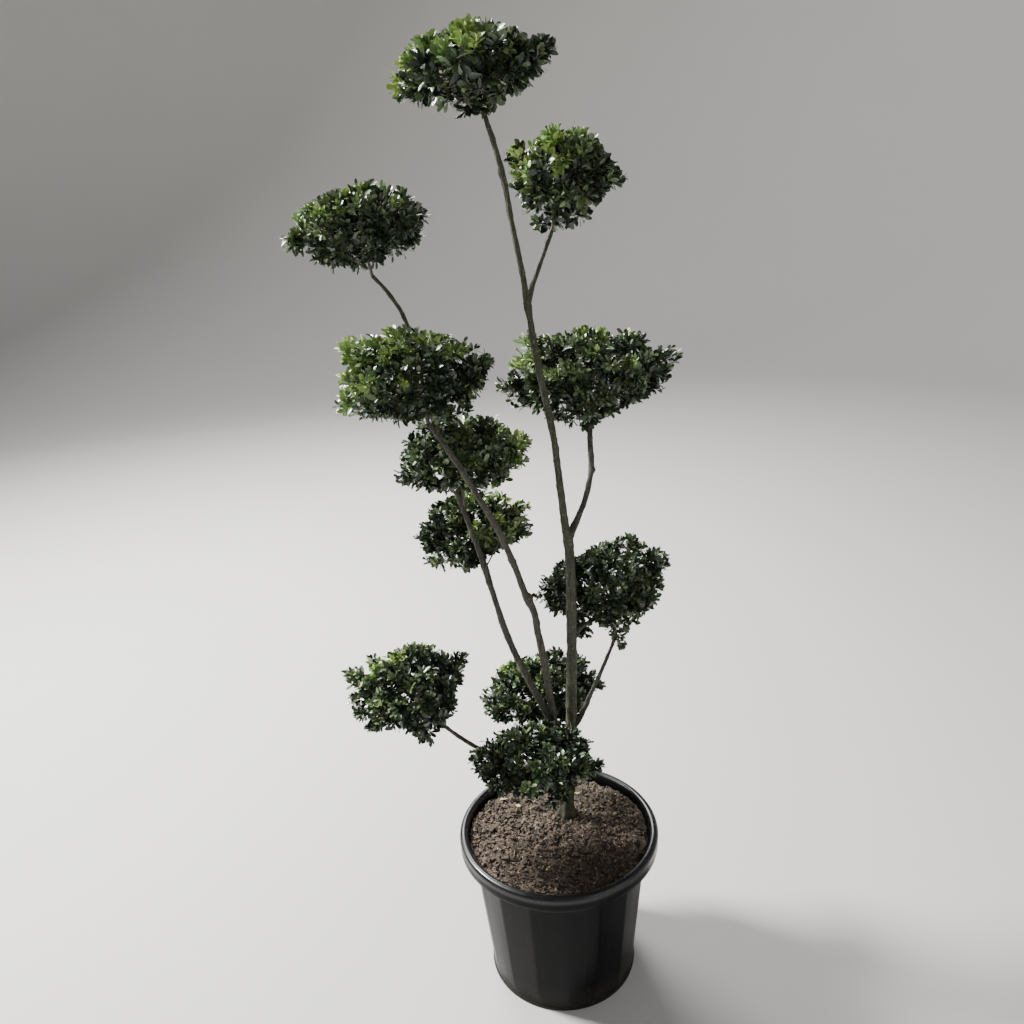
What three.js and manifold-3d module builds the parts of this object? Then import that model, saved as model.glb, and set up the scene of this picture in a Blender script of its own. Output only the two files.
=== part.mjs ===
// A clipped evergreen shrub in its nursery pot: a short trunk that forks low down into bare, slender stems,
// each carrying clipped heads of small leaves, eleven heads in all.
//
// Millimetres. +Z is up, +X is to the right of someone who looks at the plant's front, and +Y runs away
// from them. The origin is the centre of the pot's flat underside.

import * as THREE from "three";
import { mergeVertices } from "three/addons/utils/BufferGeometryUtils.js";
import Module from "manifold-3d";

const wasm = await Module();
wasm.setup();

// Sizes of the pot and its compost
const POT_HEIGHT = 331;
const RIM_RADIUS = 198.5;
const RIM_WIDTH = 17;
const RIM_SKIRT = 31;
const SKIRT_THICKNESS = 3;
const WALL_TOP_RADIUS = 176;
const WALL_FOOT_RADIUS = 148;
const WALL_THICKNESS = 3;
const FOOT_RADIUS = 149.5;
const FOOT_HEIGHT = 9;
const FOOT_CHAMFER = 4;
const FOOT_STEP = 1;
const FLOOR_THICKNESS = 4;
const DRAIN_HOLES = 8;
const DRAIN_HOLE_RADIUS = 9;
const DRAIN_HOLE_SIDES = 10;
const DRAIN_RING_RADIUS = 118;
const POT_SIDES = 32;
const COMPOST_BELOW_RIM = 14;
const COMPOST_MOUND = 6;
const COMPOST_SHOULDER_RADIUS = 130;
const COMPOST_FLAT_RADIUS = 95;

// Clear space between pieces that touch
const SEAT_GAP = 0.3;

// Limbs: the points that each one's middle line runs through, and its taper, which is its radius at shares of
// its length. A bough starts on the middle line of the limb that carries it, and its foot is then cut to that
// limb's bark.
const SOIL_LEVEL = POT_HEIGHT - COMPOST_BELOW_RIM + COMPOST_MOUND;
const LIMBS = [
  {
    name: "trunk",
    route: [
      [20, 45, SOIL_LEVEL],
      [31, 36, 440],
      [35, 31, 556],
      [39, 24, 694],
      [41, 17, 823],
      [40, 12, 935],
      [33, 9, 985],
      [26, 3, 1061],
      [20, 0, 1134],
      [8, -2, 1205],
      [-4, -4, 1273],
      [-20, -5, 1402],
      [-35, -4, 1495],
      [-44, -5, 1558],
      [-66, -6, 1642],
    ],
    taper: [[0, 11.5], [0.46, 8.6], [0.5, 6.3], [1, 3.7]],
    flare: 8,
    sides: 9,
  },
  {
    name: "stem_middle",
    route: [
      [30, 36, 445],
      [8, 22, 530],
      [-5, 11, 618],
      [-13, 1, 700],
      [-22, -7, 764],
      [-29, -14, 819],
      [-42, -21, 857],
      [-58, -30, 915],
      [-74, -38, 965],
      [-92, -44, 1013],
      [-120, -51, 1071],
      [-147, -55, 1126],
      [-186, -42, 1186],
    ],
    taper: [[0, 6.6], [0.55, 6], [1, 4]],
    flare: 2.5,
    sides: 7,
  },
  {
    name: "stem_left",
    route: [
      [6, 20, 545],
      [-11, 17, 578],
      [-33, 15, 633],
      [-58, 14, 695],
      [-79, 17, 754],
      [-98, 21, 830],
      [-112, 24, 890],
      [-144, 38, 1003],
      [-191, 63, 1180],
      [-219, 69, 1335],
      [-241, 62, 1381],
      [-266, 58, 1414],
    ],
    taper: [[0, 6.2], [0.3, 5.6], [0.5, 4.6], [1, 3.1]],
    flare: 2,
    sides: 7,
  },
  {
    name: "bough_low_right",
    route: [
      [34, 32, 532],
      [51, 31, 558],
      [73, 40, 604],
      [98, 51, 652],
      [129, 70, 716],
    ],
    taper: [[0, 4.2], [1, 3.2]],
    flare: 2.5,
    sides: 6,
  },
  {
    name: "spur_low_right",
    route: [
      [40, 21, 745],
      [51, 23, 756],
      [84, 39, 772],
    ],
    taper: [[0, 3.6], [1, 3]],
    flare: 1.5,
    sides: 6,
  },
  {
    name: "bough_right",
    route: [
      [39, 11, 945],
      [56, 24, 977],
      [72, 38, 1009],
      [86, 56, 1059],
      [87, 72, 1109],
      [89, 80, 1135],
    ],
    taper: [[0, 5.4], [1, 4.5]],
    flare: 2.5,
    sides: 7,
  },
  {
    name: "bough_upper_right",
    route: [
      [-16, -5, 1362],
      [-2, 11, 1399],
      [30, 46, 1470],
    ],
    taper: [[0, 3.9], [1, 3.1]],
    flare: 2,
    sides: 6,
  },
  {
    name: "bough_low_left",
    route: [
      [27, 39, 396],
      [-60, 24, 452],
      [-153, 10, 520],
      [-214, 3, 580],
    ],
    taper: [[0, 4.4], [1, 3.6]],
    flare: 2,
    sides: 6,
  },
  {
    name: "bough_low_back",
    route: [
      [29, 38, 420],
      [14, 88, 450],
      [-6, 120, 490],
    ],
    taper: [[0, 4.4], [1, 3.6]],
    flare: 2,
    sides: 6,
  },
  {
    name: "bough_foot",
    route: [
      [25, 41, 372],
      [-8, -2, 410],
      [-34, -38, 456],
    ],
    taper: [[0, 4.2], [1, 3.4]],
    flare: 2,
    sides: 6,
  },
];
const LIMB_STEP = 56;
const FLARE_LENGTH = 26;
const FLARE_LOBES = 5;
const FLARE_LOBE_DEPTH = 0.2;

// Heads: the middle of each one's space, how far its leaves reach from there along X, Y and Z, and the
// limb that carries it, with the share of that limb's length at which the head's own stem meets it.
// Forms are lobes (above 0) and hollows (below 0) of that space: the way each one lies from the middle, its
// height or depth as a share of the reach, and the angle in degrees over which it fades.
const HEADS = [
  {
    name: "head_top",
    seed: 1,
    middle: [-79, -10, 1712],
    reach: [131, 116, 75],
    limb: "trunk",
    share: 1,
    forms: [
      { toward: [-1, 0, -0.3], amount: 0.1, spread: 18 },
      { toward: [1, 0, 0.2], amount: 0.13, spread: 13 },
      { toward: [0.1, 0.1, -1], amount: 0.12, spread: 30 },
      { toward: [0.8, -0.1, 0.7], amount: -0.2, spread: 28 },
      { toward: [-0.7, -0.1, 0.7], amount: -0.2, spread: 28 },
      { toward: [0.8, 0.1, -0.6], amount: -0.22, spread: 28 },
    ],
  },
  {
    name: "head_upper_right",
    seed: 2,
    middle: [57, 75, 1550],
    reach: [104, 98, 94],
    limb: "bough_upper_right",
    share: 1,
    forms: [
      { toward: [-0.9, 0.1, 0.5], amount: 0.08, spread: 22 },
      { toward: [1, -0.1, -0.1], amount: 0.12, spread: 12 },
      { toward: [-0.3, 0, -1], amount: 0.06, spread: 20 },
      { toward: [0.8, 0, 0.6], amount: -0.18, spread: 25 },
      { toward: [0.8, -0.1, -0.6], amount: -0.32, spread: 28 },
      { toward: [-0.1, 0, 1], amount: -0.06, spread: 25 },
    ],
  },
  {
    name: "head_upper_left",
    seed: 3,
    middle: [-280, 55, 1492],
    reach: [125, 108, 80],
    limb: "stem_left",
    share: 1,
    forms: [
      { toward: [-1, -0.2, -0.2], amount: 0.06, spread: 15 },
      { toward: [1, 0.2, 0.2], amount: 0.06, spread: 15 },
      { toward: [-0.6, 0, 0.8], amount: -0.18, spread: 28 },
      { toward: [0.7, 0.1, -0.7], amount: -0.08, spread: 20 },
    ],
  },
  {
    name: "head_left",
    seed: 4,
    middle: [-208, -15, 1262],
    reach: [140, 120, 90],
    limb: "stem_middle",
    share: 1,
    forms: [
      { toward: [-0.87, 0, 0.45], amount: 0.19, spread: 12 },
      { toward: [-0.9, -0.2, -0.4], amount: 0.12, spread: 15 },
      { toward: [0.4, 0.3, -0.9], amount: 0.12, spread: 34 },
      { toward: [1, 0.1, 0.1], amount: 0.06, spread: 20 },
      { toward: [0.5, 0.2, 0.8], amount: -0.14, spread: 32 },
    ],
  },
  {
    name: "head_left_inner",
    seed: 5,
    middle: [-139, 55, 1099],
    reach: [127, 104, 78],
    limb: "stem_left",
    share: 0.53,
    forms: [
      { toward: [1, 0.1, 0.2], amount: 0.1, spread: 15 },
      { toward: [0.6, 0, 0.8], amount: 0.12, spread: 16 },
      { toward: [-0.9, -0.2, -0.3], amount: 0.12, spread: 17 },
      { toward: [-0.4, -0.3, 0.9], amount: 0.12, spread: 32 },
      { toward: [0, 0.3, -1], amount: 0.1, spread: 32 },
      { toward: [0.8, -0.1, -0.6], amount: -0.1, spread: 20 },
    ],
  },
  {
    name: "head_left_lower",
    seed: 6,
    middle: [-132, 115, 927],
    reach: [119, 98, 90],
    limb: "stem_left",
    share: 0.37,
    forms: [
      { toward: [0.9, 0.2, 0.4], amount: 0.16, spread: 14 },
      { toward: [-0.8, -0.2, -0.5], amount: 0.1, spread: 17 },
      { toward: [1, 0.1, -0.1], amount: 0.1, spread: 9 },
      { toward: [0, -0.3, 1], amount: 0.12, spread: 34 },
      { toward: [0.6, -0.3, -0.8], amount: -0.5, spread: 36 },
    ],
  },
  {
    name: "head_right",
    seed: 7,
    middle: [92, 105, 1215],
    reach: [163, 128, 99],
    limb: "bough_right",
    share: 1,
    forms: [
      { toward: [1, 0, 0.2], amount: 0.14, spread: 11 },
      { toward: [-0.8, 0.2, 0.5], amount: 0.2, spread: 14 },
      { toward: [0, -0.1, -1], amount: 0.1, spread: 20 },
      { toward: [-1, 0, -0.1], amount: 0.05, spread: 20 },
      { toward: [0.7, -0.2, -0.7], amount: -0.32, spread: 30 },
      { toward: [-0.5, -0.2, -0.9], amount: -0.06, spread: 16 },
    ],
  },
  {
    name: "head_lower_right",
    seed: 31,
    middle: [113, 105, 808],
    reach: [137, 110, 104],
    limb: "bough_low_right",
    share: 1,
    forms: [
      { toward: [0.9, 0.1, 0.4], amount: 0.1, spread: 17 },
      { toward: [0.5, 0.3, 0.8], amount: 0.08, spread: 14 },
      { toward: [0.2, -0.4, -0.9], amount: 0.38, spread: 9 },
      { toward: [-1, 0, -0.1], amount: 0.06, spread: 15 },
      { toward: [-0.5, -0.3, -0.8], amount: 0.1, spread: 12 },
      { toward: [-0.6, 0.4, 0.7], amount: -0.34, spread: 28 },
      { toward: [0.8, -0.3, -0.5], amount: -0.1, spread: 26 },
    ],
  },
  {
    name: "head_low_left",
    seed: 9,
    middle: [-269, 0, 658],
    reach: [121, 108, 98],
    limb: "bough_low_left",
    share: 1,
    forms: [
      { toward: [0.87, 0.3, 0.42], amount: 0.26, spread: 10 },
      { toward: [-0.9, 0.1, 0.3], amount: 0.24, spread: 9 },
      { toward: [0.2, 0.2, 1], amount: 0.05, spread: 24 },
      { toward: [0.3, -0.5, -0.8], amount: 0.1, spread: 15 },
      { toward: [-0.7, -0.4, -0.5], amount: 0.06, spread: 12 },
      { toward: [-0.3, -0.5, -0.8], amount: -0.42, spread: 20 },
      { toward: [1, 0, -0.3], amount: -0.12, spread: 24 },
    ],
  },
  {
    name: "head_low_back",
    seed: 10,
    middle: [-14, 135, 564],
    reach: [133, 104, 90],
    limb: "bough_low_back",
    share: 1,
    forms: [
      { toward: [1, 0, 0], amount: 0.14, spread: 9 },
      { toward: [-0.9, -0.2, -0.3], amount: 0.12, spread: 19 },
      { toward: [-0.4, 0.5, 0.8], amount: -0.14, spread: 28 },
      { toward: [0.9, -0.2, -0.3], amount: -0.12, spread: 20 },
    ],
  },
  {
    name: "head_foot",
    seed: 11,
    middle: [-40, -50, 523],
    reach: [129, 98, 82],
    limb: "bough_foot",
    share: 1,
    forms: [
      { toward: [1, -0.1, -0.1], amount: 0.1, spread: 11 },
      { toward: [0.5, -0.4, -0.8], amount: 0.22, spread: 22 },
      { toward: [-1, 0.1, 0.1], amount: 0.08, spread: 13 },
      { toward: [-0.4, -0.5, -0.7], amount: -0.34, spread: 19 },
      { toward: [-0.5, 0.5, 0.7], amount: -0.08, spread: 24 },
    ],
  },
];
const SEED_TURN = 1.7;
const LUMPS = 0.1;
const LUMP_TURNS = 5;
const LUMP_GAIN = 2.2;
const CORE_SHARE = 0.74;
const LEAVES = 27;
const LEAF_ROOT = 0.6;
const LEAF_REACH = [0.88, 0.995];
const LEAF_LEAN = [0.35, 0.7];
const LEAF_TWIST = 0.8;
const LEAF_WIDTH = 0.56;
const LEAF_WIDEST = 0.62;
const LEAF_THICKNESS = 0.06;
const LEAF_SUNK = 2;
const STEM_SIDES = 6;
const STEM_SHARES = [0.95, 0.8];
const STEM_SUNK = 2;
const SHOOTS = 5;
const SHOOT_REACH = 0.86;
const SHOOT_RADII = [2.6, 1.6];
const SHOOT_LEAF_LEAN = 0.4;
const SHOOT_LEAF_TURN = 0.4;
const SHOOT_LEAF_ROOTS = [0.95, 0.78];
const LIMB_CLEARANCE = 1;
const NEIGHBOUR_MARGIN = 0.06;

// Colours and finish
const FINISHES = {
  pot: new THREE.MeshStandardMaterial({ color: "#1b1c1f", roughness: 0.42, metalness: 0 }),
  compost: new THREE.MeshStandardMaterial({ color: "#3a2a20", roughness: 0.95, metalness: 0 }),
  bark: new THREE.MeshStandardMaterial({ color: "#71695a", roughness: 0.85, metalness: 0 }),
  leaf: new THREE.MeshStandardMaterial({ color: "#3f5a2c", roughness: 0.45, metalness: 0 }),
};

// Solids

// The closed solid of a geometry, with its shared corners merged.
function solidOf(geometry) {
  const bare = new THREE.BufferGeometry();
  bare.setAttribute("position", geometry.getAttribute("position").clone());
  if (geometry.index) bare.setIndex(geometry.index.clone());
  const merged = mergeVertices(bare, 1e-4);
  const kept = [];
  const index = merged.index.array;
  for (let i = 0; i < index.length; i += 3) {
    const [a, b, c] = [index[i], index[i + 1], index[i + 2]];
    if (a !== b && b !== c && c !== a) kept.push(a, b, c);
  }
  return new wasm.Manifold(
    new wasm.Mesh({
      numProp: 3,
      vertProperties: merged.attributes.position.array,
      triVerts: new Uint32Array(kept),
    }),
  );
}

// The geometry of a solid, for a mesh.
function geometryOf(solid) {
  const mesh = solid.getMesh();
  const geometry = new THREE.BufferGeometry();
  geometry.setAttribute("position", new THREE.BufferAttribute(new Float32Array(mesh.vertProperties), 3));
  geometry.setIndex(new THREE.BufferAttribute(new Uint32Array(mesh.triVerts), 1));
  geometry.computeVertexNormals();
  return geometry;
}

// The largest body of a solid: loose scraps and sealed hollows go.
function wholeBody(solid) {
  const bodies = solid.decompose();
  return bodies.sort((a, b) => b.volume() - a.volume())[0];
}

// A number from 0 to 1 that depends only on the seed and the count.
function chance(seed, count) {
  const wave = Math.sin(seed * 12.9898 + count * 78.233) * 43758.5453;
  return wave - Math.floor(wave);
}

function between([low, high], share) {
  return low + (high - low) * share;
}

// Limbs

function curveOf(limb) {
  const points = limb.route.map((p) => new THREE.Vector3(...p));
  return new THREE.CatmullRomCurve3(points, false, "centripetal");
}

// The radius of a limb at a share of its length: its taper, with a collar at its foot.
function limbRadius(limb, share, length) {
  const next = limb.taper.findIndex(([at]) => at >= share) || 1;
  const [[from, wide], [to, narrow]] = limb.taper.slice(next - 1, next + 1);
  const radius = THREE.MathUtils.mapLinear(share, from, to, wide, narrow);
  return radius + limb.flare * Math.exp((-share * length) / FLARE_LENGTH);
}

// How far the root flare bulges at a turn round the trunk and a height above its foot.
function flareLobe(turn, height) {
  return 1 + FLARE_LOBE_DEPTH * Math.cos(FLARE_LOBES * turn) * Math.exp(-height / FLARE_LENGTH);
}

// A closed tapering tube round a limb's middle line, made larger all round by grow.
function limbGeometry(limb, grow = 0) {
  const curve = curveOf(limb);
  const length = curve.getLength();
  const steps = Math.max(3, Math.round(length / LIMB_STEP));
  const frames = curve.computeFrenetFrames(steps);
  const tube = new THREE.CylinderGeometry(1, 1, 1, limb.sides, steps);
  const position = tube.getAttribute("position");
  for (let i = 0; i < position.count; i++) {
    const step = Math.round((position.getY(i) + 0.5) * steps);
    const share = step / steps;
    const across = position.getX(i);
    const along = position.getZ(i);
    const lobe = limb.name === "trunk" ? flareLobe(Math.atan2(along, across), share * length) : 1;
    const radius = limbRadius(limb, share, length) * lobe + grow;
    const end = step === 0 ? -grow : step === steps ? grow : 0;
    const point = curve
      .getPointAt(share)
      .addScaledVector(frames.normals[step], across * radius)
      .addScaledVector(frames.binormals[step], -along * radius)
      .addScaledVector(frames.tangents[step], end);
    position.setXYZ(i, point.x, point.y, point.z);
  }
  return tube;
}

// Everything below the level at which the trunk is cut flat.
function groundBlock() {
  const block = new THREE.BoxGeometry(2 * RIM_RADIUS, 2 * RIM_RADIUS, SOIL_LEVEL);
  block.translate(0, 0, SEAT_GAP + SOIL_LEVEL / 2);
  return solidOf(block);
}

// Each limb as a solid. A bough's foot is cut to the bark of every limb before it.
function growLimbs() {
  const solids = new Map();
  let before = groundBlock();
  for (const limb of LIMBS) {
    solids.set(limb.name, wholeBody(solidOf(limbGeometry(limb)).subtract(before)));
    before = before.add(solidOf(limbGeometry(limb, SEAT_GAP)));
  }
  return solids;
}

// Heads

// Direction k of n, spread evenly over a ball and turned by the head's own seed.
function evenDirection(k, n, seed) {
  const height = 1 - (2 * k + 1) / n;
  const ring = Math.sqrt(1 - height * height);
  const turn = k * Math.PI * (3 - Math.sqrt(5)) + seed * SEED_TURN;
  return new THREE.Vector3(ring * Math.cos(turn), ring * Math.sin(turn), height);
}

// How far a head's space swells or shrinks toward a direction, by its small lumps, its lobes and its hollows.
function swellToward(head, way) {
  const wave = (axis) => Math.sin(LUMP_TURNS * way.getComponent(axis) + (axis + 1) * head.seed);
  const lump = THREE.MathUtils.clamp(LUMP_GAIN * wave(0) * wave(1) * wave(2), -1, 1);
  return head.forms.reduce((sum, { toward, amount, spread }) => {
    const apart = THREE.MathUtils.radToDeg(way.angleTo(new THREE.Vector3(...toward)));
    return sum + amount * Math.exp(-((apart / spread) ** 2));
  }, 1 + (LUMPS / 2) * (lump - 1));
}

// How far out a point lies in a head's space: 0 at its middle, 1 at its edge.
function levelIn(head, point) {
  const offset = point.clone().sub(new THREE.Vector3(...head.middle));
  const plainLevel = offset.clone().divide(new THREE.Vector3(...head.reach)).length();
  return plainLevel / swellToward(head, offset.normalize());
}

// A point belongs to a head if it is in its space and deeper in it than in any neighbour's.
function belongsTo(head, point) {
  const own = levelIn(head, point);
  return own <= 1 && HEADS.every((other) => other === head || own < levelIn(other, point) - NEIGHBOUR_MARGIN);
}

function pointIn(head, direction, share) {
  const offset = direction.clone().multiply(new THREE.Vector3(...head.reach));
  const swell = swellToward(head, offset.clone().normalize());
  return offset.multiplyScalar(share * swell).add(new THREE.Vector3(...head.middle));
}

// The direction for pointIn that runs along the middle of a lobe.
function wayOf(head, lobe) {
  return new THREE.Vector3(...lobe.toward).divide(new THREE.Vector3(...head.reach)).normalize();
}

// The core of a head: a lumpy ball that its leaves and shoots stand out of.
function coreGeometry(head) {
  const ball = new THREE.IcosahedronGeometry(1, 1);
  const position = ball.getAttribute("position");
  for (let i = 0; i < position.count; i++) {
    const way = new THREE.Vector3().fromBufferAttribute(position, i).normalize();
    position.setXYZ(i, ...pointIn(head, way, CORE_SHARE).toArray());
  }
  return ball;
}

// A straight tapering twig from one point to another.
function twigGeometry(from, to, radii, sides = 3) {
  const way = to.clone().sub(from);
  const twig = new THREE.CylinderGeometry(radii[1], radii[0], way.length(), sides, 1);
  const upright = new THREE.Vector3(0, 1, 0);
  twig.applyQuaternion(new THREE.Quaternion().setFromUnitVectors(upright, way.normalize()));
  twig.translate(...from.clone().add(to).multiplyScalar(0.5).toArray());
  return twig;
}

// An eight-faced leaf, widest beyond its middle: its root at the origin, its tip along +Y, its face to +Z.
function leafGeometry(length) {
  const leaf = new THREE.OctahedronGeometry(1, 0);
  leaf.scale((length * LEAF_WIDTH) / 2, length / 2, (length * LEAF_THICKNESS) / 2);
  leaf.translate(0, length / 2, 0);
  const position = leaf.getAttribute("position");
  for (let i = 0; i < position.count; i++) {
    const isMiddle = Math.abs(position.getY(i) - length / 2) < 1e-3;
    if (isMiddle) position.setY(i, length * LEAF_WIDEST);
  }
  return leaf;
}

// A leaf from its root to its tip, with its face turned away from the head's middle and twisted a little.
function leafBetween(head, root, tip, twist) {
  const along = tip.clone().sub(root).normalize();
  const outward = tip.clone().sub(new THREE.Vector3(...head.middle));
  const across = along.clone().cross(outward).normalize().applyAxisAngle(along, twist);
  const face = across.clone().cross(along).normalize();
  const sunkRoot = root.clone().addScaledVector(along, -LEAF_SUNK);
  const leaf = leafGeometry(sunkRoot.distanceTo(tip));
  leaf.applyMatrix4(new THREE.Matrix4().makeBasis(across, along, face).setPosition(sunkRoot));
  return leaf;
}

// The stem of a head, from the limb that carries it to its middle.
function headStem(head) {
  const limb = LIMBS.find((l) => l.name === head.limb);
  const curve = curveOf(limb);
  const foot = curve.getPointAt(head.share).addScaledVector(curve.getTangentAt(head.share), -STEM_SUNK);
  const radius = limbRadius(limb, head.share, curve.getLength());
  const radii = STEM_SHARES.map((share) => share * radius);
  return solidOf(twigGeometry(foot, new THREE.Vector3(...head.middle), radii, STEM_SIDES));
}

// A direction leant away from aim by an angle, to the side that share names, from 0 to 1 round it.
function leanFrom(aim, angle, share) {
  const side = new THREE.Vector3(-aim.y, aim.x, 0.3).cross(aim).normalize();
  side.applyAxisAngle(aim, share * 2 * Math.PI);
  return aim.clone().applyAxisAngle(side, angle);
}

// A head: its stem and core, cut clear of every limb, with the leaves and shoots that keep to its space.
function growHead(head, limbsGrown, limbsGrownMore) {
  const seed = head.seed;
  const draw = (k, stream) => chance(seed, k + 100 * stream);
  let solid = wholeBody(solidOf(coreGeometry(head)).add(headStem(head)).subtract(limbsGrown));

  const addIfClear = (geometry, end) => {
    const piece = solidOf(geometry);
    if (!belongsTo(head, end) || piece.intersect(limbsGrownMore).volume() > 0) return false;
    solid = solid.add(piece);
    return true;
  };
  // Leaves that stand out of the core on all sides, each leaning to a side of its own.
  for (let k = 0; k < LEAVES; k++) {
    const aim = evenDirection(k, LEAVES, seed);
    const root = pointIn(head, leanFrom(aim, between(LEAF_LEAN, draw(k, 0)), draw(k, 1)), LEAF_ROOT);
    const tip = pointIn(head, aim, between(LEAF_REACH, draw(k, 2)));
    addIfClear(leafBetween(head, root, tip, LEAF_TWIST * (draw(k, 3) - 0.5)), tip);
  }
  // Longer shoots, one along each lobe and the rest on all sides, each with a leaf to either side of its tip.
  const lobes = head.forms.filter((form) => form.amount > 0);
  for (let k = 0; k < SHOOTS; k++) {
    const aim = k < lobes.length ? wayOf(head, lobes[k]) : evenDirection(k, SHOOTS, seed + 0.5);
    const from = pointIn(head, aim, LEAF_ROOT);
    const to = pointIn(head, aim, SHOOT_REACH);
    if (!addIfClear(twigGeometry(from, to, SHOOT_RADII), to)) continue;
    SHOOT_LEAF_ROOTS.forEach((share, side) => {
      const turn = side / 2 + SHOOT_LEAF_TURN * draw(k, 4);
      const tip = pointIn(head, leanFrom(aim, SHOOT_LEAF_LEAN, turn), LEAF_REACH[1]);
      addIfClear(leafBetween(head, from.clone().lerp(to, share), tip, 0), tip);
    });
  }
  return wholeBody(solid);
}

// Pot and compost

// An outline of radius and height pairs turned round the pot's axis.
function turned(outline) {
  const points = outline.map((p) => new THREE.Vector2(...p));
  return new THREE.LatheGeometry(points, POT_SIDES).rotateX(Math.PI / 2);
}

// The radius of the wall's outside at a height under the skirt's foot.
function wallRadius(height) {
  const wallTop = POT_HEIGHT - RIM_SKIRT;
  return THREE.MathUtils.mapLinear(height, FOOT_HEIGHT, wallTop, WALL_FOOT_RADIUS, WALL_TOP_RADIUS);
}

// The radius of the pot's inside at a height up to the middle of the bead.
function insideRadius(height) {
  const wallTop = POT_HEIGHT - RIM_SKIRT;
  const lip = POT_HEIGHT - RIM_WIDTH / 2;
  if (height <= wallTop) return wallRadius(height) - WALL_THICKNESS;
  const [foot, head] = [WALL_TOP_RADIUS - WALL_THICKNESS, RIM_RADIUS - RIM_WIDTH];
  return THREE.MathUtils.mapLinear(height, wallTop, lip, foot, head);
}

// The pot turned as one closed outline: foot, wall, rim with its hanging skirt, inside wall and floor.
function potGeometry() {
  const bead = RIM_WIDTH / 2;
  const skirtFoot = POT_HEIGHT - RIM_SKIRT;
  const skirtRoof = POT_HEIGHT - bead;
  const outline = [
    [0, 0],
    [FOOT_RADIUS - FOOT_CHAMFER, 0],
    [FOOT_RADIUS, FOOT_CHAMFER],
    [FOOT_RADIUS, FOOT_HEIGHT - FOOT_STEP],
    [WALL_FOOT_RADIUS, FOOT_HEIGHT],
    [WALL_TOP_RADIUS, skirtFoot],
    [RIM_RADIUS - RIM_WIDTH + WALL_THICKNESS, skirtRoof],
    [RIM_RADIUS - SKIRT_THICKNESS, skirtRoof],
    [RIM_RADIUS - SKIRT_THICKNESS, skirtFoot],
    [RIM_RADIUS, skirtFoot],
  ];
  for (const turn of [0, 0.25, 0.5, 0.75, 1]) {
    const angle = turn * Math.PI;
    outline.push([RIM_RADIUS - bead + bead * Math.cos(angle), POT_HEIGHT - bead + bead * Math.sin(angle)]);
  }
  outline.push([insideRadius(skirtFoot), skirtFoot]);
  outline.push([insideRadius(FLOOR_THICKNESS), FLOOR_THICKNESS]);
  outline.push([0, FLOOR_THICKNESS]);
  let solid = solidOf(turned(outline));
  for (let n = 0; n < DRAIN_HOLES; n++) {
    const angle = (n / DRAIN_HOLES) * 2 * Math.PI;
    const depth = 4 * FLOOR_THICKNESS;
    const hole = new THREE.CylinderGeometry(DRAIN_HOLE_RADIUS, DRAIN_HOLE_RADIUS, depth, DRAIN_HOLE_SIDES);
    hole.rotateX(Math.PI / 2);
    hole.translate(DRAIN_RING_RADIUS * Math.cos(angle), DRAIN_RING_RADIUS * Math.sin(angle), 0);
    solid = solid.subtract(solidOf(hole));
  }
  return geometryOf(solid);
}

// The compost that fills the pot, with a low mound that is flat round the trunk's foot.
function compostGeometry() {
  const edge = POT_HEIGHT - COMPOST_BELOW_RIM;
  const floor = FLOOR_THICKNESS + SEAT_GAP;
  const wallTop = POT_HEIGHT - RIM_SKIRT;
  const rows = [floor, wallTop, edge].map((height) => [insideRadius(height) - SEAT_GAP, height]);
  return turned([
    [0, floor],
    ...rows,
    [COMPOST_SHOULDER_RADIUS, edge + COMPOST_MOUND / 2],
    [COMPOST_FLAT_RADIUS, SOIL_LEVEL],
    [0, SOIL_LEVEL],
  ]);
}

// Assembly

const plant = new THREE.Group();

function place(name, geometry, finish) {
  const mesh = new THREE.Mesh(geometry, FINISHES[finish].clone());
  mesh.name = name;
  plant.add(mesh);
}

place("pot", potGeometry(), "pot");
place("compost", compostGeometry(), "compost");

const limbSolids = growLimbs();
for (const [name, solid] of limbSolids) place(name, geometryOf(solid), "bark");

const grownLimbs = (grow) =>
  LIMBS.map((limb) => solidOf(limbGeometry(limb, grow))).reduce((all, one) => all.add(one));
const limbsGrown = grownLimbs(SEAT_GAP);
const limbsGrownMore = grownLimbs(LIMB_CLEARANCE);
for (const head of HEADS) place(head.name, geometryOf(growHead(head, limbsGrown, limbsGrownMore)), "leaf");

export default plant;
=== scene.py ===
# A clipped evergreen shrub in its nursery pot: bark, twigs, leaves, compost and plastic round the frame.
# The pieces are in metres, in the same frame as the solids: +Z is up and -Y is the plant's front. The sizes
# below are in millimetres where they don't say otherwise.
import math
from functools import cache

import bpy
import numpy as np
from bpy.props import FloatProperty, FloatVectorProperty, IntProperty, PointerProperty
from mathutils import Matrix, Vector


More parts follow.
